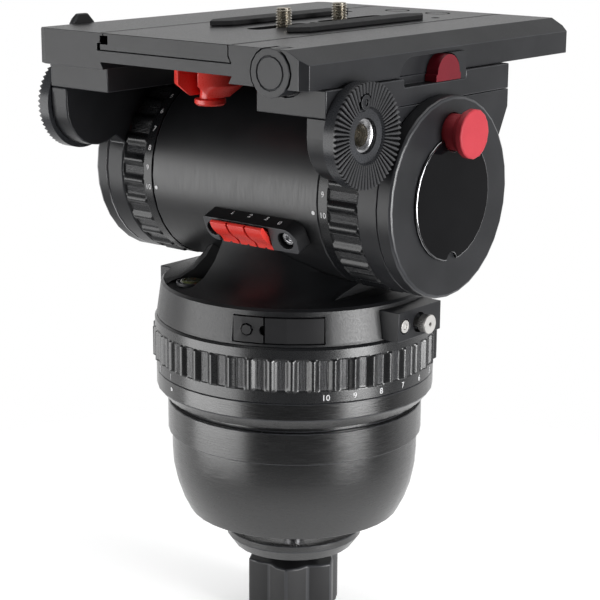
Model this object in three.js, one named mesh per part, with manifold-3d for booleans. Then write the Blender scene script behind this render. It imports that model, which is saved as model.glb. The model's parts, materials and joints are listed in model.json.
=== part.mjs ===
// Fluid video head on a 150 mm half ball, in millimetres with +Z up.
// The origin is the centre of the ball, on the pan axis and level with the bowl rim.
// +X is the right end of the tilt barrel, -Y the operator's side and +Y the front.
import * as THREE from 'three';
import { mergeVertices } from 'three/addons/utils/BufferGeometryUtils.js';
import Module from 'manifold-3d';

const wasm = await Module();
wasm.setup();

// Shared clearances and faceting
const gap = 0.3;
const runningGap = 0.8;
const overrun = 2;
const chordError = 0.28;
const hiddenCount = 12;
const arcCount = 6;
const weld = 0.0001;
const half = 0.5;
const fullTurn = 2 * Math.PI;

// Half ball, stud and tie-down knob under the bowl
const ball = { radius: 75, lipHeight: 12.1, depth: 38, arcCount: 4 };
const stud = { radius: 6, rise: 4, spare: 3.3 };
const washer = { drop: 14, thickness: 4, radius: 42, dish: 7, rim: 5 };
const tieKnob = {
  radius: 27, lobe: 3, lobeCount: 6, stepCount: 4, height: 34, neckRadius: 15, neckHeight: 9,
  boreDepth: 38,
};

// Fixed pan base: barrel, groove, chamfered drum and the spigot inside the drag ring
const panBase = {
  drumRadius: 84, drumHeight: 10, barrelInset: 6.6, barrelHeight: 18.8, grooveInset: 10.5,
  grooveHeight: 3.6, footInset: 5.4, chamferHeight: 6.4, spigotInset: 12.5, spigotWall: 5.5,
  cavityDepth: 24.1, hubWall: 11,
};
const spindle = { radius: 16, collarStep: 4, collarHeight: 5 };
const panBearing = { wall: 8.7, height: 10 };
const panDrag = { tubeWall: 7, disc: 6, space: 6, discCount: 2 };

// Pan drag ring: number band, grip ridges and top lip
const panRing = {
  bandHeight: 6.6, gripHeight: 19.6, lipHeight: 6.4, lipProud: 0.8, lipStep: 1.2,
  floorInset: 0.6, crest: 2.8, endSlope: 2.8, ridgeCount: 44, rootShare: 0.56, crestShare: 0.28,
  startShare: 0.65,
};

// Pan housing: round casting that flares up to the cradle of the tilt barrel
const housing = {
  rimInset: 0.4, shoulderInset: 2.6, shoulderHeight: 19.6, rimChamfer: 1.5, boreRoof: 17, deckRise: 2,
  neckRadius: 44, neckDrop: 10, neckInset: 1.7, flareCount: 6,
};
const levelPocket = {
  turn: -30, outerInset: 15.6, outerRadius: 12.5, innerInset: 36.6, innerRadius: 5, floorRise: 1.4,
};
const level = { inset: 18.1, ringSpace: 3.5, ringWall: 1.9, ringHeight: 2.2, vialRise: 0.9, lip: 1.1 };
const ear = { proud: 8.7, rear: 21, front: 20.3, height: 17, lift: 0.6 };
const brakeScrew = { rearSpace: 6.1, rise: 8.4, radius: 3.8, counterbore: 4.7, sink: 1.6, reach: 16 };
const lockPin = {
  rearSpace: 20.2, rise: 8.2, radius: 2.6, flangeRadius: 5.5, flange: 1.6, reach: 7.7, inner: 13,
  bore: 1.1, boreDepth: 4, counterbore: 6.1, counterboreDepth: 4, travel: 4,
};
const panel = {
  startTurn: 14.2, seamTurn: 27.2, endTurn: 50.8, rise: 1.6, height: 15, depth: 3, proud: 0.25,
  backing: 1.2, buttonTurn: 20, buttonRadius: 3.3, buttonProud: 0.9, buttonInset: 1.6, notchRadius: 3,
};

// Tilt barrel on the X axis and what turns or rests inside it
const barrel = { radius: 56, rightEnd: 60.8, leftEnd: 64.6, wall: 12, edge: 0.8, lift: 4 };
const tiltRing = {
  width: 27.3, bandWidth: 6.2, boreStep: 3.2, floorInset: 1.2, crest: 2.2, endSlope: 1.8, ridgeCount: 28,
  rootShare: 0.56, crestShare: 0.28, rightStartShare: 0.13, leftStartShare: 0.4,
};
const axle = { radius: 14, collarStep: 3, collarHalf: 26 };
const tiltBearing = { wall: 9.7, width: 9 };
const tiltDrag = { tubeWall: 16, cheek: 6 };
const springPack = { coilCount: 2, rim: 9.7, web: 3 };

// Counterbalance selector on the rear of the barrel, with heights from the barrel's surface
const selector = {
  tiltTurn: 22, endInset: 9.8, rightWidth: 19.3, leftWidth: 8.7, bottom: 7, top: 8.2, root: 8, face: 10,
  upperRadius: 8.4, lowerRadius: 2.4, leftRadius: 7, edgeRadius: 1.2, hood: 1.2, floorSpace: 0.6,
  sideSpace: 0.9,
};
const selectorScrew = {
  leftRadius: 3.3, leftBore: 4.5, rightInset: 8.3, rightRadius: 4, rightBore: 5.4,
  height: 3, sink: 5.9, rise: 0.5,
};
const lever = {
  width: 11.6, space: 1.5, leverCount: 3, pivotFace: 6.2, pivotRadius: 3, pinRadius: 1.3,
  neckRise: 5.5, neckFace: 11.2, crownRise: 10, crownFace: 15, crownThickness: 3, nose: 1.6,
  waistDrop: 2.5, waistFace: 10.8,
  footDrop: 8.2, footFace: 8.6, footThickness: 2.6, heelDrop: 5, heelFace: 4.6, notch: 1.1,
};

// Platform: rails, web and the sliding camera plate, from the tilt axis
const plate = {
  rearReach: 12, front: 143.4, inset: 3.2, rise: 32.5, thickness: 20.2, corner: 5.2, rearChamfer: 2.4,
  frontChamfer: 3.6, bevelWidth: 13, bevelDrop: 7.1, webDepth: 9.7, webThickness: 6.5, seamHalf: 46,
  undercut: 2.2, lip: 1.6, jawSpace: 3.4, footStep: 4, edge: 1,
};
const slide = { slotHalf: 5.2, headHalf: 8.6, headSpace: 5.2 };
const slots = { rearInset: 76.5, rearLength: 40, frontInset: 65.4, frontLength: 50 };
const cameraScrew = {
  radius: 4.76, head: 8, headHeight: 3.8, rise: 10.4, rearPlace: 24, frontPlace: 12, kerfHalf: 0.8,
  kerf: 1.4,
};
const strip = { place: 28.5, halfWidth: 8, rearInset: 68.5, frontInset: 57.4, tip: 11, height: 2.8 };
const plateHole = { place: 33.5, frontInset: 50.9, radius: 2.6, depth: 5, pilotSpace: 12 };
const block = { lap: 5.8, frontInset: 72.9, drop: 14.4, relief: 1.2 };
const pocket = { rearInset: 67.5, length: 59, drop: 25.1, height: 15.4, depth: 4.5, arch: 12, corner: 1.5 };
const releaseKey = {
  frontInset: 17.7, halfWidth: 11, skirtHalf: 11.8, skirt: 4.4, notch: 1, proud: 3.6,
};
const clampKnob = {
  inset: 26.7, drop: 12.4, radius: 12.9, depth: 11.6, groove: 8.4, grooveDepth: 0.6, grooveWidth: 0.7,
  proud: 0.6,
};
const plateKnob = {
  rearInset: 36.5, drop: 3.4, radius: 9.5, thickness: 5, facetCount: 8, hub: 2.3, hubDepth: 6, taper: 2,
};
const lockHub = { rearInset: 37, radius: 20, neckRadius: 11.5, cylinder: 10.3, cone: 7.1, slotHalf: 7.2 };
const plunger = { radius: 5.8, flangeRadius: 8.8, flange: 3.6, drop: 22.6, collar: 1.2 };

// Arms, caps and pan bar rosettes
const arm = {
  thickness: 12.5, bossRadius: 25.3, frontDrop: 10.2, slopeInset: 8, slopeDrop: 25.8, discProud: 0.6,
};
const rosette = {
  drop: 10.3, radius: 28, capSpace: 1.8, thickness: 8.6, toothCount: 60, hubRadius: 14.6,
  crest: 2, hubCrest: 1.1, hubSink: 0.6, hubStep: 0.5,
};
const insert = { radius: 9.3, bore: 5.6, recess: 4.2, depth: 15, lead: 1.5 };
const rosetteScrew = { place: 17.7, offset: 2.5, radius: 4.1, counterbore: 5.1, sink: 3.2, height: 2.4 };
const cap = { proud: 0.8, thickness: 9.4, edge: 1.2 };
const nameDisc = { rim: 21.3, thickness: 1.5, edge: 0.6, topNotch: 11, bottomNotch: 5 };
const mushroom = {
  inset: 19.8, stemRadius: 10.2, flangeRadius: 13.8, face: 14.6, flange: 4, flare: 4, inner: 5, travel: 3,
};

// Heights of the base, drag ring and pan housing
const baseBottom = ball.lipHeight + gap;
const barrelTop = baseBottom + panBase.barrelHeight;
const grooveTop = barrelTop + panBase.grooveHeight;
const chamferTop = grooveTop + panBase.chamferHeight;
const drumTop = chamferTop + panBase.drumHeight;
const ringBottom = drumTop + gap;
const gripBottom = ringBottom + panRing.bandHeight;
const gripTop = gripBottom + panRing.gripHeight;
const spigotTop = gripTop + panRing.lipHeight;
const housingBottom = spigotTop + gap;
const rimTop = housingBottom + housing.shoulderHeight;
const deckTop = rimTop + housing.rimChamfer + housing.deckRise;
const axisHeight = deckTop + barrel.lift + barrel.radius;
const neckTop = axisHeight - housing.neckDrop;

// Radii and places that several pieces share
const spigotRadius = panBase.drumRadius - panBase.spigotInset;
const cavityRadius = spigotRadius - panBase.spigotWall;
const hubOuter = spindle.radius + panBase.hubWall;
const panBearingOuter = spindle.radius + gap + panBearing.wall;
const rimRadius = panBase.drumRadius - housing.rimInset;
const shoulderRadius = rimRadius - housing.shoulderInset;
const earOuter = rimRadius + ear.proud;
const earBottom = housingBottom + ear.lift;
const knobTop = -ball.depth - washer.drop - washer.dish - washer.thickness - gap;
const barrelBore = barrel.radius - barrel.wall;
const axleCollar = axle.radius + axle.collarStep;
const tiltBearingOuter = axle.radius + gap + tiltBearing.wall;
const ringEnd = barrel.rightEnd + gap + tiltRing.width;
const ringFloor = barrel.radius - tiltRing.floorInset;
const ringBore = barrelBore + tiltRing.boreStep;
const armInner = ringEnd + gap;
const armOuter = armInner + arm.thickness;
const capStart = armOuter + gap;
const capRadius = barrel.radius + cap.proud;
const capOuter = capStart + cap.thickness;
const nameRadius = capRadius - nameDisc.rim;
const mushroomPlace = capRadius - mushroom.inset;

// Heights and places of the platform, from the tilt axis
const plateTop = barrel.radius + plate.rise;
const plateHalf = armOuter - plate.inset;
const railBottom = plateTop - plate.thickness;
const webTop = plateTop - plate.webDepth;
const webBottom = webTop - plate.webThickness;
const slideBottom = webTop + gap;
const hubTop = webBottom - gap;
const blockTop = railBottom - gap;
const blockBottom = blockTop - block.drop;
const blockInner = barrel.rightEnd - block.lap;
const blockFront = plate.front - block.frontInset;
const armTop = blockBottom - gap;
const rosetteZ = armTop - rosette.drop;
const rosetteReach = capRadius + rosette.radius + rosette.capSpace;
const rosetteY = -Math.sqrt(rosetteReach * rosetteReach - rosetteZ * rosetteZ);
const blockRear = rosetteY - arm.bossRadius;
const plateRear = blockRear - plate.rearReach;
const pocketRear = blockRear + pocket.rearInset;
const pocketFront = pocketRear + pocket.length;
const pocketBottom = plateTop - pocket.drop;
const pocketTop = pocketBottom + pocket.height;
const slotRear = plateRear + slots.rearInset;
const slotFront = plate.front - slots.frontInset;
const stripRear = plateRear + strip.rearInset;
const stripFront = plate.front - strip.frontInset;
const clampX = plateHalf - clampKnob.inset + plate.inset;
const clampZ = plateTop - clampKnob.drop;
const hubY = plateRear + lockHub.rearInset;
const rosetteStart = armOuter + gap;
const rosetteRoot = rosetteStart + rosette.thickness - rosette.crest;
const rosetteFace = rosetteStart + rosette.thickness;

// Places on the selector
const selectorRight = barrel.rightEnd - selector.endInset;
const leverPitch = lever.width + lever.space;
const leverSide = half * lever.width + selector.sideSpace;
const windowRight = selectorRight - selector.rightWidth;
const leverStart = windowRight - leverSide - (lever.leverCount - 1) * leverPitch;
const windowLeft = leverStart - leverSide;
const selectorLeft = windowLeft - selector.leftWidth;
const windowFloor = lever.pivotFace - lever.pivotRadius - selector.floorSpace;
const leftScrewX = windowLeft + gap - selectorScrew.leftRadius;
const rightScrewX = selectorRight - selectorScrew.rightInset;

// Finishes
function finish(color, roughness, metalness) {
  return new THREE.MeshStandardMaterial({ color, roughness, metalness });
}
const blackMetal = finish(0x1f2023, 0.48, 0.55);
const castMetal = finish(0x1a1b1d, 0.62, 0.35);
const blackPlastic = finish(0x101012, 0.55, 0);
const glossBlack = finish(0x08080a, 0.12, 0);
const rubber = finish(0x0d0d0e, 0.85, 0);
const redPlastic = finish(0xd8302b, 0.4, 0);
const redRubber = finish(0xc93a45, 0.6, 0);
const crimson = finish(0x9c1b2d, 0.4, 0);
const steel = finish(0xb9bcc0, 0.28, 1);
const darkSteel = finish(0x5a5c60, 0.4, 1);
const vialGlass = finish(0xd7e7b0, 0.08, 0);

// Closed geometry to solid: merged corners, no slivers, faces pointing out
function solid(geometry) {
  const bare = geometry.clone();
  bare.deleteAttribute('normal');
  bare.deleteAttribute('uv');
  const merged = mergeVertices(bare, weld);
  const place = merged.getAttribute('position').array;
  const corners = merged.getIndex().array;
  const faces = [];
  let volume = 0;
  for (let i = 0; i < corners.length; i += 3) {
    const [a, b, c] = [corners[i], corners[i + 1], corners[i + 2]];
    if (a === b || b === c || a === c) continue;
    faces.push(a, b, c);
    const at = (corner) => new THREE.Vector3().fromArray(place, 3 * corner);
    volume += at(a).dot(at(b).cross(at(c)));
  }
  if (volume < 0) {
    for (let i = 0; i < faces.length; i += 3) {
      [faces[i], faces[i + 1]] = [faces[i + 1], faces[i]];
    }
  }
  return new wasm.Manifold(new wasm.Mesh({
    numProp: 3,
    vertProperties: new Float32Array(place),
    triVerts: new Uint32Array(faces),
  }));
}

function geometryOf(manifold) {
  const mesh = manifold.getMesh();
  const geometry = new THREE.BufferGeometry();
  const place = new Float32Array(mesh.vertProperties);
  geometry.setAttribute('position', new THREE.BufferAttribute(place, 3));
  geometry.setIndex(new THREE.BufferAttribute(new Uint32Array(mesh.triVerts), 1));
  return geometry;
}

function join(first, ...others) {
  return geometryOf(others.reduce((sum, other) => sum.add(solid(other)), solid(first)));
}

function cut(first, ...tools) {
  return geometryOf(tools.reduce((rest, tool) => rest.subtract(solid(tool)), solid(first)));
}

function common(first, ...others) {
  return geometryOf(others.reduce((rest, other) => rest.intersect(solid(other)), solid(first)));
}

// Facets round a circle that stay within the chord error, in fours
function facetsFor(radius) {
  return 4 * Math.ceil(Math.PI / Math.acos(1 - chordError / radius) / 4);
}

// Forms along Z, turned onto X or Y when needed
function turned(points, segments = facetsFor(Math.max(...points.map(([radius]) => radius)))) {
  const profile = points.map(([radius, height]) => new THREE.Vector2(radius, height));
  const onAxis = points[0][0] === 0 && points[points.length - 1][0] === 0;
  if (!onAxis) profile.push(profile[0].clone());
  return new THREE.LatheGeometry(profile, segments).rotateX(Math.PI / 2);
}

function disc(radius, from, to, segments = facetsFor(radius)) {
  return turned([[0, from], [radius, from], [radius, to], [0, to]], segments);
}

function tube(inner, outer, from, to, segments = facetsFor(outer)) {
  return turned([[inner, from], [outer, from], [outer, to], [inner, to]], segments);
}

function prism(shape, from, to) {
  const drawn = Array.isArray(shape);
  const outline = drawn ? new THREE.Shape(shape.map(([x, y]) => new THREE.Vector2(x, y))) : shape;
  const settings = { depth: to - from, bevelEnabled: false, curveSegments: arcCount };
  return new THREE.ExtrudeGeometry(outline, settings).translate(0, 0, from);
}

function slab(x0, x1, y0, y1, z0, z1) {
  return prism([[x0, y0], [x1, y0], [x1, y1], [x0, y1]], z0, z1);
}

// The form's own x, y and z become Y, Z and X
function alongX(geometry) {
  const turn = new THREE.Matrix4().makeBasis(
    new THREE.Vector3(0, 1, 0), new THREE.Vector3(0, 0, 1), new THREE.Vector3(1, 0, 0));
  return geometry.applyMatrix4(turn);
}

// The form's own x, y and z become X, Z and -Y
function alongY(geometry) {
  return geometry.rotateX(Math.PI / 2);
}

function capsule(x, y0, y1, radius0, radius1) {
  const outline = new THREE.Shape();
  const reach = y1 - y0;
  const lean = Math.asin((radius0 - radius1) / reach);
  outline.absarc(x, y0, radius0, Math.PI - lean, lean + fullTurn, false);
  outline.absarc(x, y1, radius1, lean, Math.PI - lean, false);
  outline.closePath();
  return outline;
}

function roundedOutline(left, right, bottom, top, radii) {
  const [bottomLeft, bottomRight, topRight, topLeft] = radii;
  const outline = new THREE.Shape();
  outline.absarc(left + bottomLeft, bottom + bottomLeft, bottomLeft, -Math.PI, -half * Math.PI, false);
  outline.absarc(
    right - bottomRight, bottom + bottomRight, bottomRight, -half * Math.PI, 0, false);
  outline.absarc(right - topRight, top - topRight, topRight, 0, half * Math.PI, false);
  outline.absarc(left + topLeft, top - topLeft, topLeft, half * Math.PI, Math.PI, false);
  outline.closePath();
  return outline;
}

// Rows of points one above the other, skinned and closed by flat ends
function loftOf(rows) {
  const count = rows[0].length;
  const last = (rows.length - 1) * count;
  const faces = [];
  for (let row = 0; row < last; row += count) {
    for (let i = 0; i < count; i += 1) {
      const [a, b] = [row + i, row + (i + 1) % count];
      faces.push(a, b, b + count, a, b + count, a + count);
    }
  }
  for (let i = 1; i < count - 1; i += 1) {
    faces.push(0, i + 1, i, last, last + i, last + i + 1);
  }
  const geometry = new THREE.BufferGeometry();
  geometry.setAttribute('position', new THREE.Float32BufferAttribute(rows.flat(2), 3));
  geometry.setIndex(faces);
  return geometry;
}

// Grip ridges round the Z axis: each one tapers to its crest and slopes at both ends
function gripRidges(size, floor, from, to, startShare) {
  const foot = floor - size.crest;
  const crest = floor + size.crest;
  const rootHalf = Math.PI * size.rootShare / size.ridgeCount;
  const crestHalf = Math.PI * size.crestShare / size.ridgeCount;
  const ridges = [];
  for (let i = 0; i < size.ridgeCount; i += 1) {
    const middle = fullTurn * (i + startShare) / size.ridgeCount;
    const corner = (radius, turn, z) => [radius * Math.cos(turn), radius * Math.sin(turn), z];
    const corners = [-1, 1].flatMap((side) => [
      corner(foot, middle + side * rootHalf, from),
      corner(foot, middle + side * rootHalf, to),
      corner(crest, middle + side * crestHalf, from + size.endSlope),
      corner(crest, middle + side * crestHalf, to - size.endSlope),
    ]);
    ridges.push(geometryOf(wasm.Manifold.hull(corners)));
  }
  return ridges;
}

// Parts are meshes in nested groups
const head = new THREE.Group();
const tiltFrame = new THREE.Group();
tiltFrame.position.z = axisHeight;
const selectorFrame = new THREE.Group();
selectorFrame.rotation.x = half * Math.PI + THREE.MathUtils.degToRad(selector.tiltTurn);
const selectorSeat = new THREE.Group();
selectorSeat.position.z = barrel.radius;
selectorFrame.add(selectorSeat);
tiltFrame.add(selectorFrame);
head.add(tiltFrame);

function part(parent, name, geometry, material) {
  const mesh = new THREE.Mesh(geometryOf(solid(geometry)), material);
  mesh.name = name;
  parent.add(mesh);
}

function mirrored(geometry) {
  return geometry.clone().scale(-1, 1, 1);
}

// Half ball: lip, spherical side and flat underside round the stud
function halfBall() {
  const bore = stud.radius + gap;
  const points = [[bore, -ball.depth], [bore, ball.lipHeight], [ball.radius, ball.lipHeight]];
  const endTurn = Math.asin(ball.depth / ball.radius);
  for (let i = 0; i <= ball.arcCount; i += 1) {
    const turn = endTurn * i / ball.arcCount;
    points.push([ball.radius * Math.cos(turn), -ball.radius * Math.sin(turn)]);
  }
  return turned(points);
}

function ballStud() {
  return disc(stud.radius, knobTop - tieKnob.boreDepth + stud.spare, stud.rise);
}

function bowlWasher() {
  const { thickness, radius, dish, rim } = washer;
  const top = -ball.depth - washer.drop;
  const bore = stud.radius + gap;
  return turned([
    [bore, top - dish - thickness], [radius - rim, top - dish - thickness], [radius, top - thickness],
    [radius, top], [radius - rim, top], [tieKnob.neckRadius, top - dish], [bore, top - dish],
  ]);
}

function tieDownKnob() {
  const gripStart = knobTop - tieKnob.neckHeight;
  const outline = [];
  const steps = tieKnob.lobeCount * tieKnob.stepCount;
  for (let i = 0; i < steps; i += 1) {
    const turn = fullTurn * i / steps;
    const radius = tieKnob.radius + tieKnob.lobe * Math.cos(tieKnob.lobeCount * turn);
    outline.push([radius * Math.cos(turn), radius * Math.sin(turn)]);
  }
  const grip = prism(outline, gripStart - tieKnob.height, gripStart);
  const neck = disc(tieKnob.neckRadius, gripStart - overrun, knobTop);
  const bore = disc(stud.radius + gap, knobTop - tieKnob.boreDepth, knobTop + overrun);
  return cut(join(grip, neck), bore);
}

// Fixed base: barrel, groove, drum and spigot, with a round cavity for the drag discs
function fixedBase() {
  const b = panBase;
  const bore = spindle.radius + gap;
  const barrelRadius = b.drumRadius - b.barrelInset;
  const grooveRadius = b.drumRadius - b.grooveInset;
  const outside = turned([
    [bore, baseBottom], [barrelRadius, baseBottom], [barrelRadius, barrelTop], [grooveRadius, barrelTop],
    [grooveRadius, grooveTop], [b.drumRadius - b.footInset, grooveTop], [b.drumRadius, chamferTop],
    [b.drumRadius, drumTop], [spigotRadius, drumTop], [spigotRadius, spigotTop], [bore, spigotTop],
  ]);
  const floor = spigotTop - b.cavityDepth;
  const cavity = tube(hubOuter, cavityRadius, floor, spigotTop + overrun, hiddenCount);
  const seat = spigotTop - spindle.collarHeight;
  const collarSeat = disc(hubOuter + overrun, seat, spigotTop + overrun, hiddenCount);
  return cut(outside, cavity, collarSeat);
}

function panSpindle() {
  const shoulder = spigotTop - spindle.collarHeight + gap;
  const collar = spindle.radius + spindle.collarStep;
  const top = housingBottom + panBearing.height + gap;
  return turned([
    [0, baseBottom], [spindle.radius, baseBottom], [spindle.radius, shoulder], [collar, shoulder],
    [collar, housingBottom], [spindle.radius, housingBottom], [spindle.radius, top], [0, top],
  ], hiddenCount);
}

// Drag discs on a common tube inside the cavity
function panDragDiscs() {
  const d = panDrag;
  const inner = hubOuter + runningGap;
  const outer = cavityRadius - runningGap;
  const tubeRadius = hubOuter + d.tubeWall;
  let place = spigotTop - panBase.cavityDepth + gap;
  const points = [[inner, place]];
  for (let i = 0; i < d.discCount; i += 1) {
    points.push([outer, place], [outer, place + d.disc]);
    place += d.disc;
    if (i < d.discCount - 1) {
      points.push([tubeRadius, place], [tubeRadius, place + d.space]);
      place += d.space;
    }
  }
  points.push([inner, place]);
  return turned(points, hiddenCount);
}

// Drag ring: number band, grip floor and lip around one bore, with its ridges
function panDragRing() {
  const r = panRing;
  const bore = spigotRadius + gap;
  const bandRadius = panBase.drumRadius;
  const floor = bandRadius - r.floorInset;
  const lipRadius = bandRadius + r.lipProud;
  const body = turned([
    [bore, ringBottom], [bandRadius, ringBottom], [bandRadius, gripBottom], [floor, gripBottom],
    [floor, gripTop], [lipRadius, gripTop], [lipRadius, spigotTop - r.lipStep],
    [lipRadius - r.lipStep, spigotTop], [bore, spigotTop],
  ]);
  return join(body, ...gripRidges(r, floor, gripBottom, gripTop, r.startShare));
}

// Outer surface of the pan housing, grown by a clearance where another piece is fitted to it
function housingSkin(grow = 0) {
  const h = housing;
  const start = shoulderRadius - h.rimChamfer;
  const points = [[0, housingBottom - grow], [rimRadius + grow, housingBottom - grow]];
  points.push([rimRadius + grow, housingBottom + h.rimChamfer], [shoulderRadius + grow, rimTop]);
  points.push([start + grow, rimTop + h.rimChamfer]);
  for (let i = 1; i <= h.flareCount; i += 1) {
    const turn = half * Math.PI * i / h.flareCount;
    const radius = start - (start - h.neckRadius) * Math.sin(turn);
    const height = neckTop - (neckTop - rimTop - h.rimChamfer) * Math.cos(turn);
    points.push([radius + grow, height]);
  }
  points.push([0, neckTop]);
  return turned(points);
}

function rimSector(inner, outer, from, to, startTurn, endTurn) {
  const reach = rimRadius / half;
  const outline = [[0, 0]];
  const steps = 8;
  for (let i = 0; i <= steps; i += 1) {
    const turn = THREE.MathUtils.degToRad(startTurn + (endTurn - startTurn) * i / steps);
    outline.push([reach * Math.sin(turn), -reach * Math.cos(turn)]);
  }
  return common(prism(outline, from, to), tube(inner, outer, from - overrun, to + overrun));
}

function onRim(geometry, turn) {
  return geometry.rotateZ(THREE.MathUtils.degToRad(turn));
}

const panelBottom = housingBottom + panel.rise;
const panelTop = panelBottom + panel.height;
const panelMiddle = half * (panelBottom + panelTop);
const rimSlope = (rimRadius - shoulderRadius) / (housing.shoulderHeight - housing.rimChamfer);
const panelRadius = rimRadius - rimSlope * (panelMiddle - housingBottom - housing.rimChamfer);
const panelInner = panelRadius - panel.depth;

function levelCut() {
  const p = levelPocket;
  const outer = p.outerInset - rimRadius;
  const outline = capsule(0, outer, p.innerInset - rimRadius, p.outerRadius, p.innerRadius);
  return onRim(prism(outline, rimTop + p.floorRise, neckTop), p.turn);
}

// Space that the housing leaves round the selector and its levers
function selectorSpace() {
  const s = selector;
  const reach = barrel.radius + lever.crownFace + runningGap;
  const space = slab(selectorLeft - runningGap, selectorRight + runningGap, -s.bottom - runningGap, s.top,
    barrel.radius - s.root, reach);
  space.rotateX(half * Math.PI + THREE.MathUtils.degToRad(s.tiltTurn));
  return space.translate(0, 0, axisHeight);
}

function panHousing() {
  const high = neckTop + rimRadius;
  const cradle = alongX(disc(barrel.radius + gap, -rimRadius, rimRadius)).translate(0, 0, axisHeight);
  const above = slab(-rimRadius, rimRadius, -rimRadius, rimRadius, axisHeight, high);
  const rightSide = slab(
    barrel.rightEnd - housing.neckInset, rimRadius, -rimRadius, rimRadius, deckTop, high);
  const leftSide = slab(
    -rimRadius, housing.neckInset - barrel.leftEnd, -rimRadius, rimRadius, deckTop, high);
  const bore = disc(panBearingOuter + gap, housingBottom - overrun, housingBottom + housing.boreRoof);
  const panelCut = rimSector(panelInner - panel.backing - gap, panelRadius + overrun + overrun,
    panelBottom - gap, panelTop + gap, panel.startTurn - gap, panel.endTurn + gap);
  return cut(
    housingSkin(), rightSide, leftSide, cradle, above, bore, levelCut(), panelCut, selectorSpace(),
    ...pinAndScrewBores());
}

function earBlock() {
  const body = slab(half * rimRadius, earOuter, -ear.rear, ear.front, earBottom, earBottom + ear.height);
  return cut(body, housingSkin(gap));
}

// Places on the right ear's face, and bores from there through the ear into the housing
function onEar(form, size) {
  return form.translate(0, size.rearSpace - ear.rear, earBottom + size.rise);
}

function earBore(size, radius, depth) {
  return onEar(alongX(disc(radius, earOuter - depth, earOuter + overrun)), size);
}

function pinAndScrewBores() {
  return [
    earBore(brakeScrew, half * brakeScrew.radius + gap, brakeScrew.reach + gap),
    earBore(lockPin, lockPin.radius + gap, lockPin.inner + lockPin.travel + gap),
  ];
}

function rightEarBlock() {
  return cut(
    earBlock(),
    earBore(brakeScrew, brakeScrew.counterbore, brakeScrew.sink),
    earBore(lockPin, lockPin.counterbore, lockPin.counterboreDepth),
    ...pinAndScrewBores());
}

// Screw along Z with a socket in its head, whose underside is at the seat
function socketScrew(radius, height, seat, shank) {
  const shankRadius = half * radius;
  const top = seat + height;
  const socketFloor = top - half * height;
  return turned([
    [0, seat - shank], [shankRadius, seat - shank], [shankRadius, seat], [radius, seat],
    [radius, top], [shankRadius, top], [shankRadius, socketFloor], [0, socketFloor],
  ]);
}

function brakeBlockScrew() {
  const s = brakeScrew;
  return onEar(alongX(socketScrew(s.radius, s.sink, earOuter - s.sink + gap, s.reach - s.sink)), s);
}

function panLockPin() {
  const p = lockPin;
  const tip = earOuter + p.reach;
  const root = earOuter - p.inner;
  return onEar(alongX(turned([
    [0, root], [p.radius, root], [p.radius, tip - p.flange], [p.flangeRadius, tip - p.flange],
    [p.flangeRadius, tip], [p.bore, tip], [p.bore, tip - p.boreDepth], [0, tip - p.boreDepth],
  ])), p);
}

function buttonTool(radius, from, to) {
  const tool = alongY(disc(radius, from, to)).translate(0, 0, panelMiddle);
  return onRim(tool, panel.buttonTurn);
}

function lightPanel() {
  const plateForm = rimSector(panelInner, panelRadius + panel.proud, panelBottom, panelTop,
    panel.startTurn, panel.seamTurn - gap);
  const hole = buttonTool(panel.buttonRadius + gap, panelInner - overrun, panelRadius + overrun);
  const notch = alongY(disc(panel.notchRadius, panelInner - overrun, panelRadius + overrun));
  notch.translate(0, 0, panelMiddle);
  return cut(plateForm, hole, onRim(notch, panel.seamTurn));
}

function lightButton() {
  return buttonTool(panel.buttonRadius, panelInner + panel.buttonInset, panelRadius + panel.buttonProud);
}

function batteryCover() {
  return rimSector(panelInner, panelRadius + panel.proud, panelBottom, panelTop,
    panel.seamTurn, panel.endTurn);
}

// Level vial in its ring on the pocket floor
const vialSeat = rimTop + levelPocket.floorRise + gap;
const levelRadius = levelPocket.outerRadius - level.ringSpace;
const vialRadius = levelRadius - level.ringWall - gap;

function onPocket(geometry) {
  return onRim(geometry.translate(0, level.inset - rimRadius, 0), levelPocket.turn);
}

function levelRing() {
  return onPocket(tube(vialRadius + gap, levelRadius, vialSeat, vialSeat + level.ringHeight));
}

function levelVial() {
  const top = vialSeat + level.ringHeight;
  return onPocket(turned([
    [0, vialSeat], [vialRadius, vialSeat], [vialRadius, top],
    [vialRadius - level.lip, top + level.vialRise], [0, top + level.vialRise],
  ]));
}

// Tilt barrel and what turns or rests inside it
function tiltBarrel() {
  const { radius, edge, leftEnd, rightEnd } = barrel;
  return alongX(turned([
    [barrelBore, -leftEnd], [radius - edge, -leftEnd], [radius, edge - leftEnd],
    [radius, rightEnd - edge], [radius - edge, rightEnd], [barrelBore, rightEnd],
  ]));
}

function tiltAxle() {
  const { radius, collarHalf } = axle;
  return alongX(turned([
    [0, -armOuter], [radius, -armOuter], [radius, -collarHalf], [axleCollar, -collarHalf],
    [axleCollar, collarHalf], [radius, collarHalf], [radius, armOuter], [0, armOuter],
  ], hiddenCount));
}

function counterSpring() {
  const s = springPack;
  const pitch = axle.collarHalf / half / s.coilCount;
  const bore = axleCollar + runningGap;
  const outer = barrelBore - gap;
  const points = [[bore, -axle.collarHalf]];
  for (let i = 0; i < s.coilCount; i += 1) {
    const start = i * pitch - axle.collarHalf;
    const end = start + pitch - s.web;
    points.push([outer, start], [outer, end]);
    if (i < s.coilCount - 1) points.push([outer - s.rim, end], [outer - s.rim, start + pitch]);
  }
  points.push([bore, axle.collarHalf - s.web]);
  return alongX(turned(points, hiddenCount));
}

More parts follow.
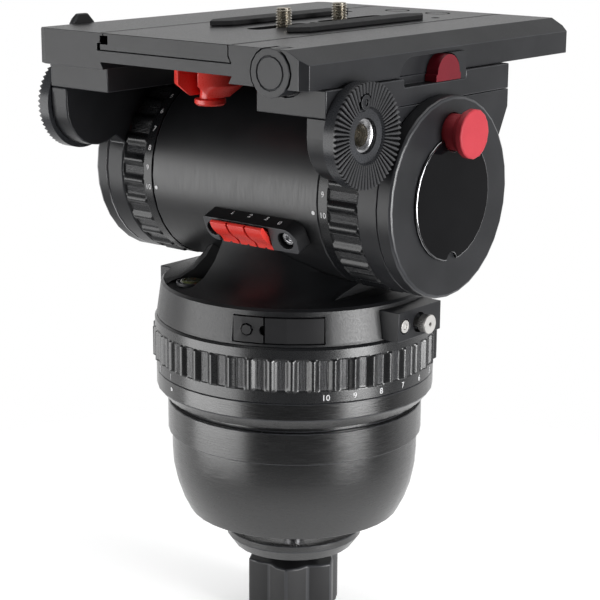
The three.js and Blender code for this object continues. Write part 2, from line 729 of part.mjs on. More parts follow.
// Drag pack: cheeks inside the barrel's end and the spigot that the grip ring turns on
function tiltDragPack(barrelEnd) {
  const d = tiltDrag;
  const bore = axle.radius + runningGap;
  const outer = barrelBore - gap;
  const start = axle.collarHalf + gap;
  const end = ringEnd - gap;
  const seat = end - tiltBearing.width;
  const tubeRadius = axle.radius + d.tubeWall;
  const bearingBore = tiltBearingOuter / Math.cos(Math.PI / hiddenCount) + gap;
  return alongX(turned([
    [bore, start], [outer, start], [outer, start + d.cheek], [tubeRadius, start + d.cheek],
    [tubeRadius, barrelEnd - d.cheek], [outer, barrelEnd - d.cheek], [outer, barrelEnd + gap],
    [ringBore - gap, barrelEnd + gap], [ringBore - gap, end], [bearingBore, end], [bearingBore, seat],
    [bore, seat],
  ], hiddenCount));
}

function tiltBearingRing() {
  const end = ringEnd - gap;
  return alongX(tube(
    axle.radius + gap, tiltBearingOuter, end - tiltBearing.width + gap, end, hiddenCount + hiddenCount));
}

function tiltDragRing(barrelEnd, startShare) {
  const from = barrelEnd + gap;
  const bandEnd = from + tiltRing.bandWidth;
  const body = turned([
    [ringBore, from], [barrel.radius, from], [barrel.radius, bandEnd], [ringFloor, bandEnd],
    [ringFloor, ringEnd], [ringBore, ringEnd],
  ]);
  return alongX(join(body, ...gripRidges(tiltRing, ringFloor, bandEnd, ringEnd, startShare)));
}

// Selector housing, with x along the barrel, y up its face and z out from the barrel
function selectorHousing() {
  const s = selector;
  const outline = roundedOutline(selectorLeft, selectorRight, -s.bottom, s.top,
    [s.leftRadius, s.lowerRadius, s.upperRadius, s.edgeRadius]);
  const seat = disc(barrel.radius + gap, selectorLeft - overrun, selectorRight + overrun);
  seat.rotateY(half * Math.PI).translate(0, 0, -barrel.radius);
  const window = slab(
    windowLeft, windowRight, -s.bottom - overrun, s.top - s.hood, windowFloor, s.face + overrun);
  const bore = (radius, x) => disc(radius, s.face - selectorScrew.sink, s.face + overrun)
    .translate(x, selectorScrew.rise, 0);
  return cut(prism(outline, -s.root, s.face), seat, window,
    bore(selectorScrew.leftBore, leftScrewX),
    bore(selectorScrew.rightBore, rightScrewX));
}

function selectorPin() {
  const form = disc(lever.pinRadius, windowLeft + gap + gap, windowRight - gap);
  return form.rotateY(half * Math.PI).translate(0, 0, lever.pivotFace);
}

function selectorHeadScrew(radius, x) {
  const seat = selector.face - selectorScrew.sink + gap;
  return socketScrew(radius, selectorScrew.height, seat, 0).translate(x, selectorScrew.rise, 0);
}

// Rocker lever: hub on the pin, bulging crown at the hood, waist and a notched foot
function balanceLever(place) {
  const l = lever;
  const crownInner = l.crownFace - l.crownThickness;
  const outline = new THREE.Shape();
  outline.moveTo(-l.pivotRadius, l.pivotFace);
  outline.absarc(0, l.pivotFace, l.pivotRadius, -Math.PI, 0, false);
  outline.lineTo(l.neckRise, l.neckFace);
  outline.lineTo(l.crownRise - l.nose, crownInner);
  outline.quadraticCurveTo(
    l.crownRise, l.crownFace - half * l.crownThickness, l.crownRise - l.nose, l.crownFace);
  outline.quadraticCurveTo(half * l.crownRise - l.waistDrop, l.crownFace, -l.waistDrop, l.waistFace);
  outline.quadraticCurveTo(-half * (l.waistDrop + l.footDrop), l.footFace, -l.footDrop, l.footFace);
  outline.lineTo(-l.footDrop, l.footFace - l.footThickness);
  outline.lineTo(-l.heelDrop, l.heelFace);
  outline.closePath();
  const body = alongX(prism(outline, place - half * l.width, place + half * l.width));
  const bore = disc(l.pinRadius + gap, place - l.width, place + l.width).rotateY(half * Math.PI);
  const notch = disc(l.notch, 0, l.crownFace).translate(place, -l.footDrop, 0);
  return cut(body, bore.translate(0, 0, l.pivotFace), notch);
}

// Platform
function planOutline() {
  const p = plate;
  const w = plateHalf;
  const cornerHalf = w - p.corner;
  return [
    [-cornerHalf, plateRear], [cornerHalf, plateRear], [w, plateRear + p.rearChamfer],
    [w, p.front - p.frontChamfer], [cornerHalf, p.front], [-cornerHalf, p.front],
    [-w, p.front - p.frontChamfer], [-w, plateRear + p.rearChamfer],
  ];
}

function pocketTool() {
  const p = pocket;
  const outline = roundedOutline(
    pocketRear, pocketFront, pocketBottom, pocketTop, [p.corner, p.corner, p.corner, p.arch]);
  return alongX(prism(outline, plateHalf - p.depth, armOuter + overrun));
}

function platformFrame() {
  const p = plate;
  const w = plateHalf;
  const mouth = p.seamHalf + p.undercut;
  const groove = mouth + p.undercut;
  const section = [
    [-w, railBottom], [-w, plateTop - p.edge], [p.edge - w, plateTop], [-p.seamHalf, plateTop],
    [-p.seamHalf, plateTop - p.lip], [-mouth, plateTop - p.lip], [-mouth, webTop + p.footStep],
    [-groove, webTop + p.footStep], [-groove, webTop], [mouth, webTop], [p.seamHalf, webTop + p.footStep],
    [p.seamHalf, plateTop], [w - p.bevelWidth, plateTop], [w, plateTop - p.bevelDrop], [w, railBottom],
    [p.seamHalf, railBottom], [mouth, webBottom], [-mouth, webBottom], [-p.seamHalf, railBottom],
  ];
  const rails = alongY(prism(section, -p.front, -plateRear));
  const plan = prism(planOutline(), railBottom - overrun, plateTop + overrun);
  const knobBore = alongY(disc(
    clampKnob.radius + runningGap, -plateRear - clampKnob.depth - gap, overrun - plateRear));
  const hubBore = alongX(disc(plateKnob.hub + gap, w - plateKnob.hubDepth - gap, w + overrun));
  hubBore.translate(0, plateRear + plateKnob.rearInset, plateTop - plateKnob.drop);
  return cut(
    common(rails, plan), knobBore.translate(clampX, 0, clampZ), pocketTool(), mirrored(hubBore));
}

function slidingPlate() {
  const p = plate;
  const edge = p.seamHalf - gap;
  const footTop = webTop + p.footStep - gap;
  const section = [
    [-p.seamHalf - p.undercut, slideBottom], [-p.seamHalf - p.undercut, footTop],
    [p.jawSpace - edge, footTop], [p.jawSpace - edge, plateTop - p.lip], [-edge, plateTop - p.lip],
    [-edge, plateTop], [edge, plateTop], [edge, footTop], [edge + p.undercut - gap, slideBottom],
  ];
  const body = alongY(prism(section, -p.front, -plateRear));
  const spans = [[slotRear, slotRear + slots.rearLength], [slotFront - slots.frontLength, slotFront]];
  const slotAt = (radius, start, end, top) => prism(
    capsule(0, start, end, radius, radius), slideBottom - overrun, top);
  const tools = spans.flatMap(([start, end]) => [
    slotAt(slide.slotHalf, start, end, plateTop + overrun),
    slotAt(slide.headHalf, start, end, slideBottom + slide.headSpace),
  ]);
  const holes = [-1, 1].map((side) => disc(
    plateHole.radius, plateTop - plateHole.depth, plateTop + overrun)
    .translate(side * plateHole.place, p.front - plateHole.frontInset, 0));
  const pilot = disc(plateHole.radius, slideBottom - overrun, plateTop + overrun)
    .translate(0, slotFront - slots.frontLength - plateHole.pilotSpace, 0);
  return cut(body, ...tools, ...holes, pilot);
}

function cameraScrewAt(y) {
  const c = cameraScrew;
  const seat = slideBottom + gap;
  const top = plateTop + c.rise;
  const body = turned([
    [0, seat], [c.head, seat], [c.head, seat + c.headHeight], [c.radius, seat + c.headHeight],
    [c.radius, top - c.kerf], [c.radius - c.kerf * half, top], [0, top],
  ]);
  const kerf = slab(
    -c.kerfHalf, c.kerfHalf, -c.head - overrun, c.head + overrun, seat - overrun, seat + c.kerf);
  return cut(body, kerf).translate(0, y, 0);
}

function gripStrip() {
  const s = strip;
  const seat = plateTop + gap;
  const inner = s.place - s.halfWidth;
  const outer = s.place + s.halfWidth;
  return prism([
    [s.place, stripRear], [outer, stripRear + s.tip], [outer, stripFront - s.tip],
    [s.place, stripFront], [inner, stripFront - s.tip], [inner, stripRear + s.tip],
  ], seat, seat + s.height);
}

function sideBlock() {
  const body = slab(blockInner, armOuter, blockRear, blockFront, blockBottom, blockTop);
  const relief = alongX(disc(
    ringFloor + tiltRing.crest + block.relief, blockInner - overrun, armInner));
  const knobBore = alongY(disc(clampKnob.radius + runningGap, -blockRear - overrun, -blockRear + overrun));
  return cut(body, relief, knobBore.translate(clampX, 0, clampZ));
}

// Side arm: hangs from the block, is round at the rosette and ends in a disc on the axle
function sideArm() {
  const a = arm;
  const discRadius = barrel.radius + a.discProud;
  const slopeY = blockFront - a.slopeInset;
  const outline = [
    [blockRear, armTop], [blockRear, rosetteZ], [rosetteY, rosetteZ - half * a.bossRadius],
    [-half * discRadius, 0], [slopeY - half * discRadius, 0], [slopeY, armTop - a.slopeDrop],
    [blockFront, armTop - a.frontDrop], [blockFront, armTop],
  ];
  const web = prism(outline, armInner, armOuter);
  const round = disc(discRadius, armInner, armOuter);
  const boss = disc(a.bossRadius, armInner, armOuter).translate(rosetteY, rosetteZ, 0);
  const above = slab(blockRear - discRadius, blockFront + discRadius, armTop, armTop + discRadius,
    armInner - overrun, armOuter + overrun);
  const axleBore = disc(axle.radius + gap, armInner - overrun, armOuter + overrun);
  const insertBore = disc(insert.radius + gap, rosetteFace - insert.recess - insert.depth - gap,
    armOuter + overrun).translate(rosetteY, rosetteZ, 0);
  return alongX(cut(join(web, round, boss), above, axleBore, insertBore));
}

// Rosette: radial teeth round a sunk hub face, with a bore for the insert
function faceTeeth() {
  const r = rosette;
  const stepCount = r.toothCount / half;
  const row = (radius, height, rise) => Array.from({ length: stepCount }, (unused, i) => {
    const turn = fullTurn * i / stepCount;
    return [radius * Math.cos(turn), radius * Math.sin(turn), height + (i % 2) * rise];
  });
  return loftOf([
    row(r.radius, rosetteStart, 0),
    row(r.radius, rosetteRoot, r.crest),
    row(r.hubRadius, rosetteRoot, r.hubCrest),
    row(r.hubRadius - r.hubStep, rosetteRoot - r.hubSink, 0),
  ]);
}

function rosetteDisc() {
  const r = rosette;
  const bore = disc(insert.radius + gap, rosetteStart - overrun, rosetteFace + overrun);
  const screwSeat = disc(
    rosetteScrew.counterbore, rosetteFace - rosetteScrew.sink, rosetteFace + overrun);
  screwSeat.translate(-rosetteScrew.offset, rosetteScrew.place, 0);
  return alongX(cut(faceTeeth(), bore, screwSeat).translate(rosetteY, rosetteZ, 0));
}

function rosetteHeadScrew() {
  const s = rosetteScrew;
  const form = socketScrew(s.radius, s.height, rosetteFace - s.sink + gap, 0);
  return alongX(form.translate(rosetteY - s.offset, rosetteZ + s.place, 0));
}

function barInsert() {
  const end = rosetteFace - insert.recess;
  const start = end - insert.depth;
  return alongX(turned([
    [insert.bore, start], [insert.radius, start], [insert.radius, end], [insert.bore + insert.lead, end],
    [insert.bore, end - insert.lead],
  ]).translate(rosetteY, rosetteZ, 0));
}

function endCap() {
  const edgeStart = capOuter - cap.edge;
  return turned([
    [0, capStart], [capRadius, capStart], [capRadius, edgeStart], [capRadius - cap.edge, capOuter],
    [0, capOuter],
  ]);
}

function rightCap() {
  const depth = mushroom.inner + mushroom.travel + gap;
  const bore = disc(mushroom.stemRadius + gap, capOuter - depth, capOuter + overrun);
  return alongX(cut(endCap(), bore.translate(0, mushroomPlace, 0)));
}

function blankNameDisc() {
  const n = nameDisc;
  const start = capOuter + gap;
  const end = start + n.thickness;
  const body = turned([
    [0, start], [nameRadius, start], [nameRadius, end - n.edge], [nameRadius - n.edge, end], [0, end],
  ]);
  const topNotch = disc(n.topNotch, start - overrun, end + overrun).translate(0, mushroomPlace, 0);
  const bottomNotch = disc(n.bottomNotch, start - overrun, end + overrun).translate(0, -nameRadius, 0);
  return alongX(cut(body, topNotch, bottomNotch));
}

function tiltLockKnob() {
  const m = mushroom;
  const root = capOuter - m.inner;
  const face = capOuter + m.face;
  const flangeStart = face - m.flange;
  return alongX(turned([
    [0, root], [m.stemRadius, root], [m.stemRadius, flangeStart - m.flare], [m.flangeRadius, flangeStart],
    [m.flangeRadius, face], [0, face],
  ]).translate(0, mushroomPlace, 0));
}

// Release key: arched tab that runs along its pocket
function plateReleaseKey() {
  const k = releaseKey;
  const y = pocketFront - k.frontInset;
  const bottom = pocketBottom + gap;
  const shoulder = bottom + k.skirt;
  const spring = pocketTop - gap - k.halfWidth;
  const outline = new THREE.Shape();
  outline.moveTo(y - k.skirtHalf, bottom);
  outline.lineTo(y + k.skirtHalf, bottom);
  outline.lineTo(y + k.skirtHalf, shoulder - k.notch);
  outline.lineTo(y + k.halfWidth - k.notch, shoulder);
  outline.absarc(y, spring, k.halfWidth - gap, 0, Math.PI, false);
  outline.lineTo(y - k.halfWidth + k.notch, shoulder);
  outline.lineTo(y - k.skirtHalf, shoulder - k.notch);
  outline.closePath();
  return alongX(prism(outline, plateHalf - pocket.depth + gap, plateHalf + k.proud));
}

function rearClampKnob() {
  const k = clampKnob;
  const rear = k.proud - plateRear;
  const body = disc(k.radius, rear - k.depth, rear);
  const groove = tube(k.groove, k.groove + k.grooveWidth, rear - k.grooveDepth, rear + overrun);
  return alongY(cut(body, groove)).translate(clampX, 0, clampZ);
}

function plateLockKnob() {
  const k = plateKnob;
  const start = plateHalf + gap;
  const end = start + k.thickness;
  const facets = [];
  for (let i = 0; i < k.facetCount; i += 1) {
    const turn = fullTurn * (i + half) / k.facetCount;
    facets.push([k.radius * Math.cos(turn), k.radius * Math.sin(turn)]);
  }
  const envelope = turned([
    [0, start], [k.radius, start], [k.radius, end - k.taper], [k.radius - k.taper, end], [0, end],
  ]);
  const grip = common(prism(facets, start, end), envelope);
  const hub = disc(k.hub, plateHalf - k.hubDepth, start + overrun);
  return alongX(join(grip, hub).translate(plateRear + k.rearInset, plateTop - k.drop, 0));
}

// Red hub under the web with a slot at the rear that shows the plunger
function lockHubForm() {
  const h = lockHub;
  const coneTop = hubTop - h.cylinder;
  const bottom = coneTop - h.cone;
  const body = turned([
    [0, bottom], [h.neckRadius, bottom], [h.radius, coneTop], [h.radius, hubTop], [0, hubTop],
  ]);
  const bore = disc(h.slotHalf, bottom - overrun, hubTop + overrun);
  const slot = slab(-h.slotHalf, h.slotHalf, -h.radius - overrun, 0, bottom - overrun, hubTop + overrun);
  return cut(body, bore, slot).translate(0, hubY, 0);
}

function lockPlunger() {
  const p = plunger;
  const bottom = hubTop - p.drop;
  return turned([
    [0, bottom], [p.flangeRadius - p.collar, bottom], [p.flangeRadius, bottom + p.collar],
    [p.flangeRadius, bottom + p.flange], [p.radius, bottom + p.flange], [p.radius, hubTop], [0, hubTop],
  ]).translate(0, hubY, 0);
}

// Assembly: base
part(head, 'half_ball', halfBall(), blackMetal);
part(head, 'ball_stud', ballStud(), steel);
part(head, 'bowl_washer', bowlWasher(), blackMetal);
part(head, 'tie_down_knob', tieDownKnob(), blackPlastic);
part(head, 'pan_base', fixedBase(), blackMetal);
part(head, 'pan_spindle', panSpindle(), steel);
part(head, 'pan_drag_discs', panDragDiscs(), darkSteel);
part(head, 'pan_drag_ring', panDragRing(), blackMetal);

// Assembly: pan housing and its small parts
part(head, 'pan_bearing', tube(spindle.radius + gap, panBearingOuter, housingBottom + gap,
  housingBottom + panBearing.height), steel);
part(head, 'pan_housing', panHousing(), castMetal);
part(head, 'ear_block_right', rightEarBlock(), blackMetal);
part(head, 'ear_block_left', mirrored(earBlock()), blackMetal);
part(head, 'brake_screw', brakeBlockScrew(), steel);
part(head, 'pan_lock_pin', panLockPin(), steel);
part(head, 'light_panel', lightPanel(), blackPlastic);
part(head, 'light_button', lightButton(), blackPlastic);
part(head, 'battery_cover', batteryCover(), blackPlastic);
part(head, 'level_ring', levelRing(), blackMetal);
part(head, 'level_vial', levelVial(), vialGlass);

// Assembly: tilt barrel
part(tiltFrame, 'tilt_barrel', tiltBarrel(), blackMetal);
part(tiltFrame, 'tilt_axle', tiltAxle(), steel);
part(tiltFrame, 'spring_pack', counterSpring(), darkSteel);
part(tiltFrame, 'tilt_drag_pack_right', tiltDragPack(barrel.rightEnd), darkSteel);
part(tiltFrame, 'tilt_drag_pack_left', mirrored(tiltDragPack(barrel.leftEnd)), darkSteel);
part(tiltFrame, 'tilt_bearing_right', tiltBearingRing(), steel);
part(tiltFrame, 'tilt_bearing_left', mirrored(tiltBearingRing()), steel);
part(tiltFrame, 'tilt_ring_right', tiltDragRing(barrel.rightEnd, tiltRing.rightStartShare), blackMetal);
part(tiltFrame, 'tilt_ring_left', mirrored(
  tiltDragRing(barrel.leftEnd, tiltRing.leftStartShare)), blackMetal);
part(selectorSeat, 'selector_housing', selectorHousing(), blackPlastic);
part(selectorSeat, 'selector_pin', selectorPin(), steel);
part(selectorSeat, 'selector_screw_left', selectorHeadScrew(
  selectorScrew.leftRadius, leftScrewX), steel);
part(selectorSeat, 'selector_screw_right', selectorHeadScrew(
  selectorScrew.rightRadius, rightScrewX), steel);
for (let i = 0; i < lever.leverCount; i += 1) {
  part(selectorSeat, `balance_lever_${i + 1}`, balanceLever(leverStart + i * leverPitch), redPlastic);
}

// Assembly: platform
part(tiltFrame, 'platform_frame', platformFrame(), blackMetal);
part(tiltFrame, 'sliding_plate', slidingPlate(), blackMetal);
part(tiltFrame, 'grip_strip_right', gripStrip(), rubber);
part(tiltFrame, 'grip_strip_left', mirrored(gripStrip()), rubber);
part(tiltFrame, 'camera_screw_rear', cameraScrewAt(slotRear + cameraScrew.rearPlace), steel);
part(tiltFrame, 'camera_screw_front', cameraScrewAt(
  slotFront - slots.frontLength + cameraScrew.frontPlace), steel);
part(tiltFrame, 'side_block_right', cut(sideBlock(), pocketTool()), blackMetal);
part(tiltFrame, 'side_block_left', mirrored(sideBlock()), blackMetal);
part(tiltFrame, 'side_arm_right', sideArm(), blackMetal);
part(tiltFrame, 'side_arm_left', mirrored(sideArm()), blackMetal);
part(tiltFrame, 'end_cap_right', rightCap(), blackMetal);
part(tiltFrame, 'end_cap_left', mirrored(alongX(endCap())), blackMetal);
part(tiltFrame, 'name_disc', blankNameDisc(), glossBlack);
part(tiltFrame, 'tilt_lock_knob', tiltLockKnob(), redRubber);
part(tiltFrame, 'rosette_right', rosetteDisc(), blackMetal);
part(tiltFrame, 'rosette_left', mirrored(rosetteDisc()), blackMetal);
part(tiltFrame, 'bar_insert_right', barInsert(), steel);
part(tiltFrame, 'bar_insert_left', mirrored(barInsert()), steel);
part(tiltFrame, 'rosette_screw_right', rosetteHeadScrew(), blackMetal);
part(tiltFrame, 'rosette_screw_left', mirrored(rosetteHeadScrew()), blackMetal);
part(tiltFrame, 'release_key', plateReleaseKey(), crimson);
part(tiltFrame, 'clamp_knob', rearClampKnob(), blackMetal);
part(tiltFrame, 'plate_knob', mirrored(plateLockKnob()), blackPlastic);
part(tiltFrame, 'lock_hub', lockHubForm(), redPlastic);
part(tiltFrame, 'lock_plunger', lockPlunger(), redPlastic);

export default head;
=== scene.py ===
"""Looks of a fluid video head: finishes, rounded edges, dial numbers, threads, light and camera."""
import json
import math

import bmesh
import bpy
from mathutils import Matrix, Vector


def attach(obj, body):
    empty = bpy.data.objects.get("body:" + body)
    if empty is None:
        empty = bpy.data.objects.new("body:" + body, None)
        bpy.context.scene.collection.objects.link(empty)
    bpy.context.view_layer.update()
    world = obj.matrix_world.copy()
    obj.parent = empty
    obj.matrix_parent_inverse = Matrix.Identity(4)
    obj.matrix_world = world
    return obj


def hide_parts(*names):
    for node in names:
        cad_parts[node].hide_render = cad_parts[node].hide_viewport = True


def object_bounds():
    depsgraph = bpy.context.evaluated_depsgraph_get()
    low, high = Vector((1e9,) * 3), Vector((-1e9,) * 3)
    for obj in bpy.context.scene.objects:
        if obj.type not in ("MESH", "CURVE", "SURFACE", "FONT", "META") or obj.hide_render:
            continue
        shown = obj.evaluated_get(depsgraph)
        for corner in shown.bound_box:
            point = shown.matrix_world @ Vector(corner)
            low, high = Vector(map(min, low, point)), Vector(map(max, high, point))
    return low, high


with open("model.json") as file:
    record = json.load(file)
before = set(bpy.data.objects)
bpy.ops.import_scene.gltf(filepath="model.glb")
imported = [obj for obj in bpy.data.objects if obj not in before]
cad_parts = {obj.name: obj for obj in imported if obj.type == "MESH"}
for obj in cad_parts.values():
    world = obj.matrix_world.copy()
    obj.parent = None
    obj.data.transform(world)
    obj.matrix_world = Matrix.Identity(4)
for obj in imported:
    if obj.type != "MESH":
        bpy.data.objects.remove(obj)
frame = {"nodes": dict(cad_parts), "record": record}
cad_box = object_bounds()
nodes = frame["nodes"]
record = frame["record"]
SLOTS = {entry["node"]: entry["material_slot"] for entry in record["subparts"]}
BODIES = {node: body for body, members in record["behaviour"]["bodies"].items() for node in members}
JOINTS = {joint["name"]: joint for joint in record["behaviour"]["joints"]}
MM = 0.001


# Lowest and highest corner of a node's own solid, in millimetres
def box_of(node):
    corners = [vertex.co / MM for vertex in nodes[node].data.vertices]
    low = Vector([min(corner[axis] for corner in corners) for axis in range(3)])
    high = Vector([max(corner[axis] for corner in corners) for axis in range(3)])
    return low, high


# Places on the head, in millimetres
INSERT_BACK, INSERT_END = box_of("bar_insert_right")
ROSETTE = (INSERT_BACK + INSERT_END) / 2
PLATE_TOP = box_of("sliding_plate")[1].z
TILT_HEIGHT = JOINTS["tilt"]["pos_m"][2] / MM
SELECTOR_PLACE = Vector((0, -51.92, 146.52))
SELECTOR_UP = Vector((0, -0.3746, 0.9272))
SELECTOR_OUT = Vector((0, -0.9272, -0.3746))

# Both sides, with their sign along X
SIDES = {"right": 1, "left": -1}


# Camera at the photograph's view, with the photograph's pixels as the unit of lens and shift
def place_camera():
    photo_width = 600
    focal_length = 1715
    shift_x, shift_y = 4.7, -3.0
    film_width = 36
    distance = 1.037
    aim = Vector((0, 0, 0.0926))
    azimuth, elevation, roll = math.radians(39.2), math.radians(14.2), math.radians(0.35)
    level = math.cos(elevation)
    back = Vector((math.sin(azimuth) * level, -math.cos(azimuth) * level, math.sin(elevation)))
    right = Vector((math.cos(azimuth), math.sin(azimuth), 0))
    up = back.cross(right)
    rolled_right = right * math.cos(roll) + up * math.sin(roll)
    rolled_up = up * math.cos(roll) - right * math.sin(roll)
    data = bpy.data.cameras.new("camera")
    data.lens = focal_length / photo_width * film_width
    data.sensor_width = film_width
    data.shift_x = shift_x / photo_width
    data.shift_y = shift_y / photo_width
    data.clip_start = 0.01
    camera = bpy.data.objects.new("camera", data)
    bpy.context.scene.collection.objects.link(camera)
    turn = Matrix((rolled_right, rolled_up, back)).transposed().to_4x4()
    camera.matrix_world = Matrix.Translation(aim + back * distance) @ turn
    bpy.context.scene.camera = camera


# Shader building blocks
def new_material(name):
    material = bpy.data.materials.new(name)
    material.use_nodes = True
    tree = material.node_tree
    tree.nodes.clear()
    output = tree.nodes.new("ShaderNodeOutputMaterial")
    shader = tree.nodes.new("ShaderNodeBsdfPrincipled")
    tree.links.new(shader.outputs["BSDF"], output.inputs["Surface"])
    return material, tree, shader


def feed(tree, socket, value):
    if isinstance(value, (int, float)):
        socket.default_value = value
    elif isinstance(value, tuple):
        socket.default_value = (*value, 1)
    else:
        tree.links.new(value, socket)


def math_node(tree, operation, first, second=None):
    node = tree.nodes.new("ShaderNodeMath")
    node.operation = operation
    feed(tree, node.inputs[0], first)
    if second is not None:
        feed(tree, node.inputs[1], second)
    return node.outputs[0]


def noise(tree, scale, detail=3.0, stretch=(1, 1, 1)):
    place = tree.nodes.new("ShaderNodeTexCoord")
    mapping = tree.nodes.new("ShaderNodeMapping")
    mapping.inputs["Scale"].default_value = stretch
    texture = tree.nodes.new("ShaderNodeTexNoise")
    texture.inputs["Scale"].default_value = scale
    texture.inputs["Detail"].default_value = detail
    tree.links.new(place.outputs["Object"], mapping.inputs["Vector"])
    tree.links.new(mapping.outputs["Vector"], texture.inputs["Vector"])
    return texture.outputs["Fac"]


def ramp(tree, value, low, high, from_low=0.35, from_high=0.65):
    node = tree.nodes.new("ShaderNodeMapRange")
    node.inputs["From Min"].default_value = from_low
    node.inputs["From Max"].default_value = from_high
    node.inputs["To Min"].default_value = low
    node.inputs["To Max"].default_value = high
    tree.links.new(value, node.inputs["Value"])
    return node.outputs["Result"]


def blend_color(tree, factor, first, second):
    color_a, color_b, color_result = 6, 7, 2
    node = tree.nodes.new("ShaderNodeMix")
    node.data_type = "RGBA"
    tree.links.new(factor, node.inputs["Factor"])
    feed(tree, node.inputs[color_a], first)
    feed(tree, node.inputs[color_b], second)
    return node.outputs[color_result]


# Broad mottling between two tones
def mottled(tree, dark, light):
    broad_scale, broad_detail = 35, 4
    broad = noise(tree, broad_scale, broad_detail)
    return blend_color(tree, ramp(tree, broad, 0, 1), dark, light)


def add_bump(tree, shader, height, strength, distance=0.1):
    node = tree.nodes.new("ShaderNodeBump")
    node.inputs["Strength"].default_value = strength
    node.inputs["Distance"].default_value = distance * MM
    tree.links.new(height, node.inputs["Height"])
    tree.links.new(node.outputs["Normal"], shader.inputs["Normal"])


# A mottled finish with a fine grain in its roughness and height
def coated(name, dark, light, rough, grain, bump, metallic=0.0, specular=0.5, stretch=(1, 1, 1)):
    material, tree, shader = new_material(name)
    fine = noise(tree, grain, stretch=stretch)
    tree.links.new(mottled(tree, dark, light), shader.inputs["Base Color"])
    tree.links.new(ramp(tree, fine, *rough), shader.inputs["Roughness"])
    shader.inputs["Metallic"].default_value = metallic
    shader.inputs["Specular IOR Level"].default_value = specular
    add_bump(tree, shader, fine, bump)
    return material


# Painted shade at the bottom of fine grooves
GROOVE_SHADE = (0.006, 0.006, 0.007)


# Fine lines inside a band, round the world's Z or round an axis along X through a centre, with a painted
# highlight on each line's crest and painted shade in the groove between
def lined(name, lines, radii, reach, light, bump, specular, centre=None, dark=GROOVE_SHADE, rest=0.006):
    tint, brighter = (1, 1.05, 1.18), 1.65
    line_from, line_to = -0.5, 0.7
    rough, grain = (0.24, 0.33), 2200
    groove_depth = 0.25
    material, tree, shader = new_material(name)
    place = tree.nodes.new("ShaderNodeTexCoord")
    split = tree.nodes.new("ShaderNodeSeparateXYZ")
    tree.links.new(place.outputs["Object"], split.inputs["Vector"])

    def inside(value, low, high):
        above = math_node(tree, "GREATER_THAN", value, low * MM)
        below = math_node(tree, "LESS_THAN", value, high * MM)
        return math_node(tree, "MULTIPLY", above, below)

    first, second, along = split.outputs["X"], split.outputs["Y"], split.outputs["Z"]
    if centre:
        first = math_node(tree, "SUBTRACT", split.outputs["Y"], centre[0] * MM)
        second = math_node(tree, "SUBTRACT", split.outputs["Z"], centre[1] * MM)
        along = math_node(tree, "ABSOLUTE", split.outputs["X"])
    angle = math_node(tree, "ARCTAN2", second, first)
    cosine = math_node(tree, "COSINE", math_node(tree, "MULTIPLY", angle, lines))
    wave = math_node(tree, "MULTIPLY", cosine, -1)
    squares = [math_node(tree, "MULTIPLY", value, value) for value in (first, second)]
    radius = math_node(tree, "SQRT", math_node(tree, "ADD", *squares))
    mask = math_node(tree, "MULTIPLY", inside(radius, *radii), inside(along, *reach))
    line = math_node(tree, "MULTIPLY", ramp(tree, wave, 0, 1, line_from, line_to), mask)
    dull, bright = [tuple(rest * share * tone for tone in tint) for share in (1, brighter)]
    plain = mottled(tree, dull, bright)
    lines_lit_and_shaded = blend_color(tree, line, dark, light)
    tree.links.new(blend_color(tree, mask, plain, lines_lit_and_shaded), shader.inputs["Base Color"])
    tree.links.new(ramp(tree, noise(tree, grain), *rough), shader.inputs["Roughness"])
    shader.inputs["Specular IOR Level"].default_value = specular
    add_bump(tree, shader, line, bump, groove_depth)
    return material


def fluid_material():
    material, tree, shader = new_material("vial_fluid")
    dark, light = (0.075, 0.085, 0.03), (0.10, 0.115, 0.045)
    swirl = noise(tree, 120, 2)
    color = blend_color(tree, ramp(tree, swirl, 0, 1), dark, light)
    tree.links.new(color, shader.inputs["Base Color"])
    shader.inputs["Roughness"].default_value = 0.06
    shader.inputs["IOR"].default_value = 1.5
    shader.inputs["Coat Weight"].default_value = 1.0
    shader.inputs["Coat Roughness"].default_value = 0.04
    add_bump(tree, shader, swirl, 0.02)
    return material


# Black finishes
ANODISED = coated("black_anodised", dark=(0.0095, 0.010, 0.0115), light=(0.016, 0.0165, 0.0185),
                  rough=(0.32, 0.44), grain=2600, bump=0.14, specular=0.27)
TURNED_Z = coated("black_turned_level", dark=(0.002, 0.0021, 0.0025), light=(0.0035, 0.0037, 0.0042),
                  rough=(0.21, 0.29), grain=320, bump=0.08, specular=0.95, stretch=(0.3, 0.3, 9))
TURNED_X = coated("black_turned_across", dark=(0.005, 0.0052, 0.006), light=(0.008, 0.0083, 0.0094),
                  rough=(0.34, 0.44), grain=320, bump=0.10, stretch=(9, 0.3, 0.3))
CAST = coated("black_cast", dark=(0.004, 0.0042, 0.005), light=(0.007, 0.0073, 0.0084),
              rough=(0.32, 0.44), grain=1300, bump=0.5)
PLASTIC = coated("black_plastic", dark=(0.007, 0.007, 0.008), light=(0.011, 0.011, 0.012),
                 rough=(0.40, 0.50), grain=2200, bump=0.2, specular=0.4)
RUBBER = coated("strip_rubber", dark=(0.012, 0.012, 0.013), light=(0.018, 0.018, 0.019),
                rough=(0.66, 0.8), grain=1600, bump=0.5, specular=0.3)
GLOSS = coated("gloss_black", dark=(0.002, 0.002, 0.0025), light=(0.003, 0.003, 0.0036),
               rough=(0.10, 0.14), grain=300, bump=0.02, specular=0.08)
FACE = coated("selector_face", dark=(0.045, 0.046, 0.05), light=(0.06, 0.061, 0.065),
              rough=(0.42, 0.5), grain=2000, bump=0.15, specular=0.4)
# Painted highlight for the rounded edges of black parts
EDGE_HIGHLIGHT = coated("black_edge_highlight", dark=(0.022, 0.023, 0.026), light=(0.034, 0.035, 0.039),
                   rough=(0.30, 0.40), grain=1800, bump=0.1)
# Painted shade for gaps and milled grooves
PAINTED_SHADE = coated("painted_shade_black", dark=(0.0008, 0.0008, 0.001), light=(0.0014, 0.0014, 0.0016),
              rough=(0.85, 0.95), grain=1500, bump=0.05, specular=0.0)
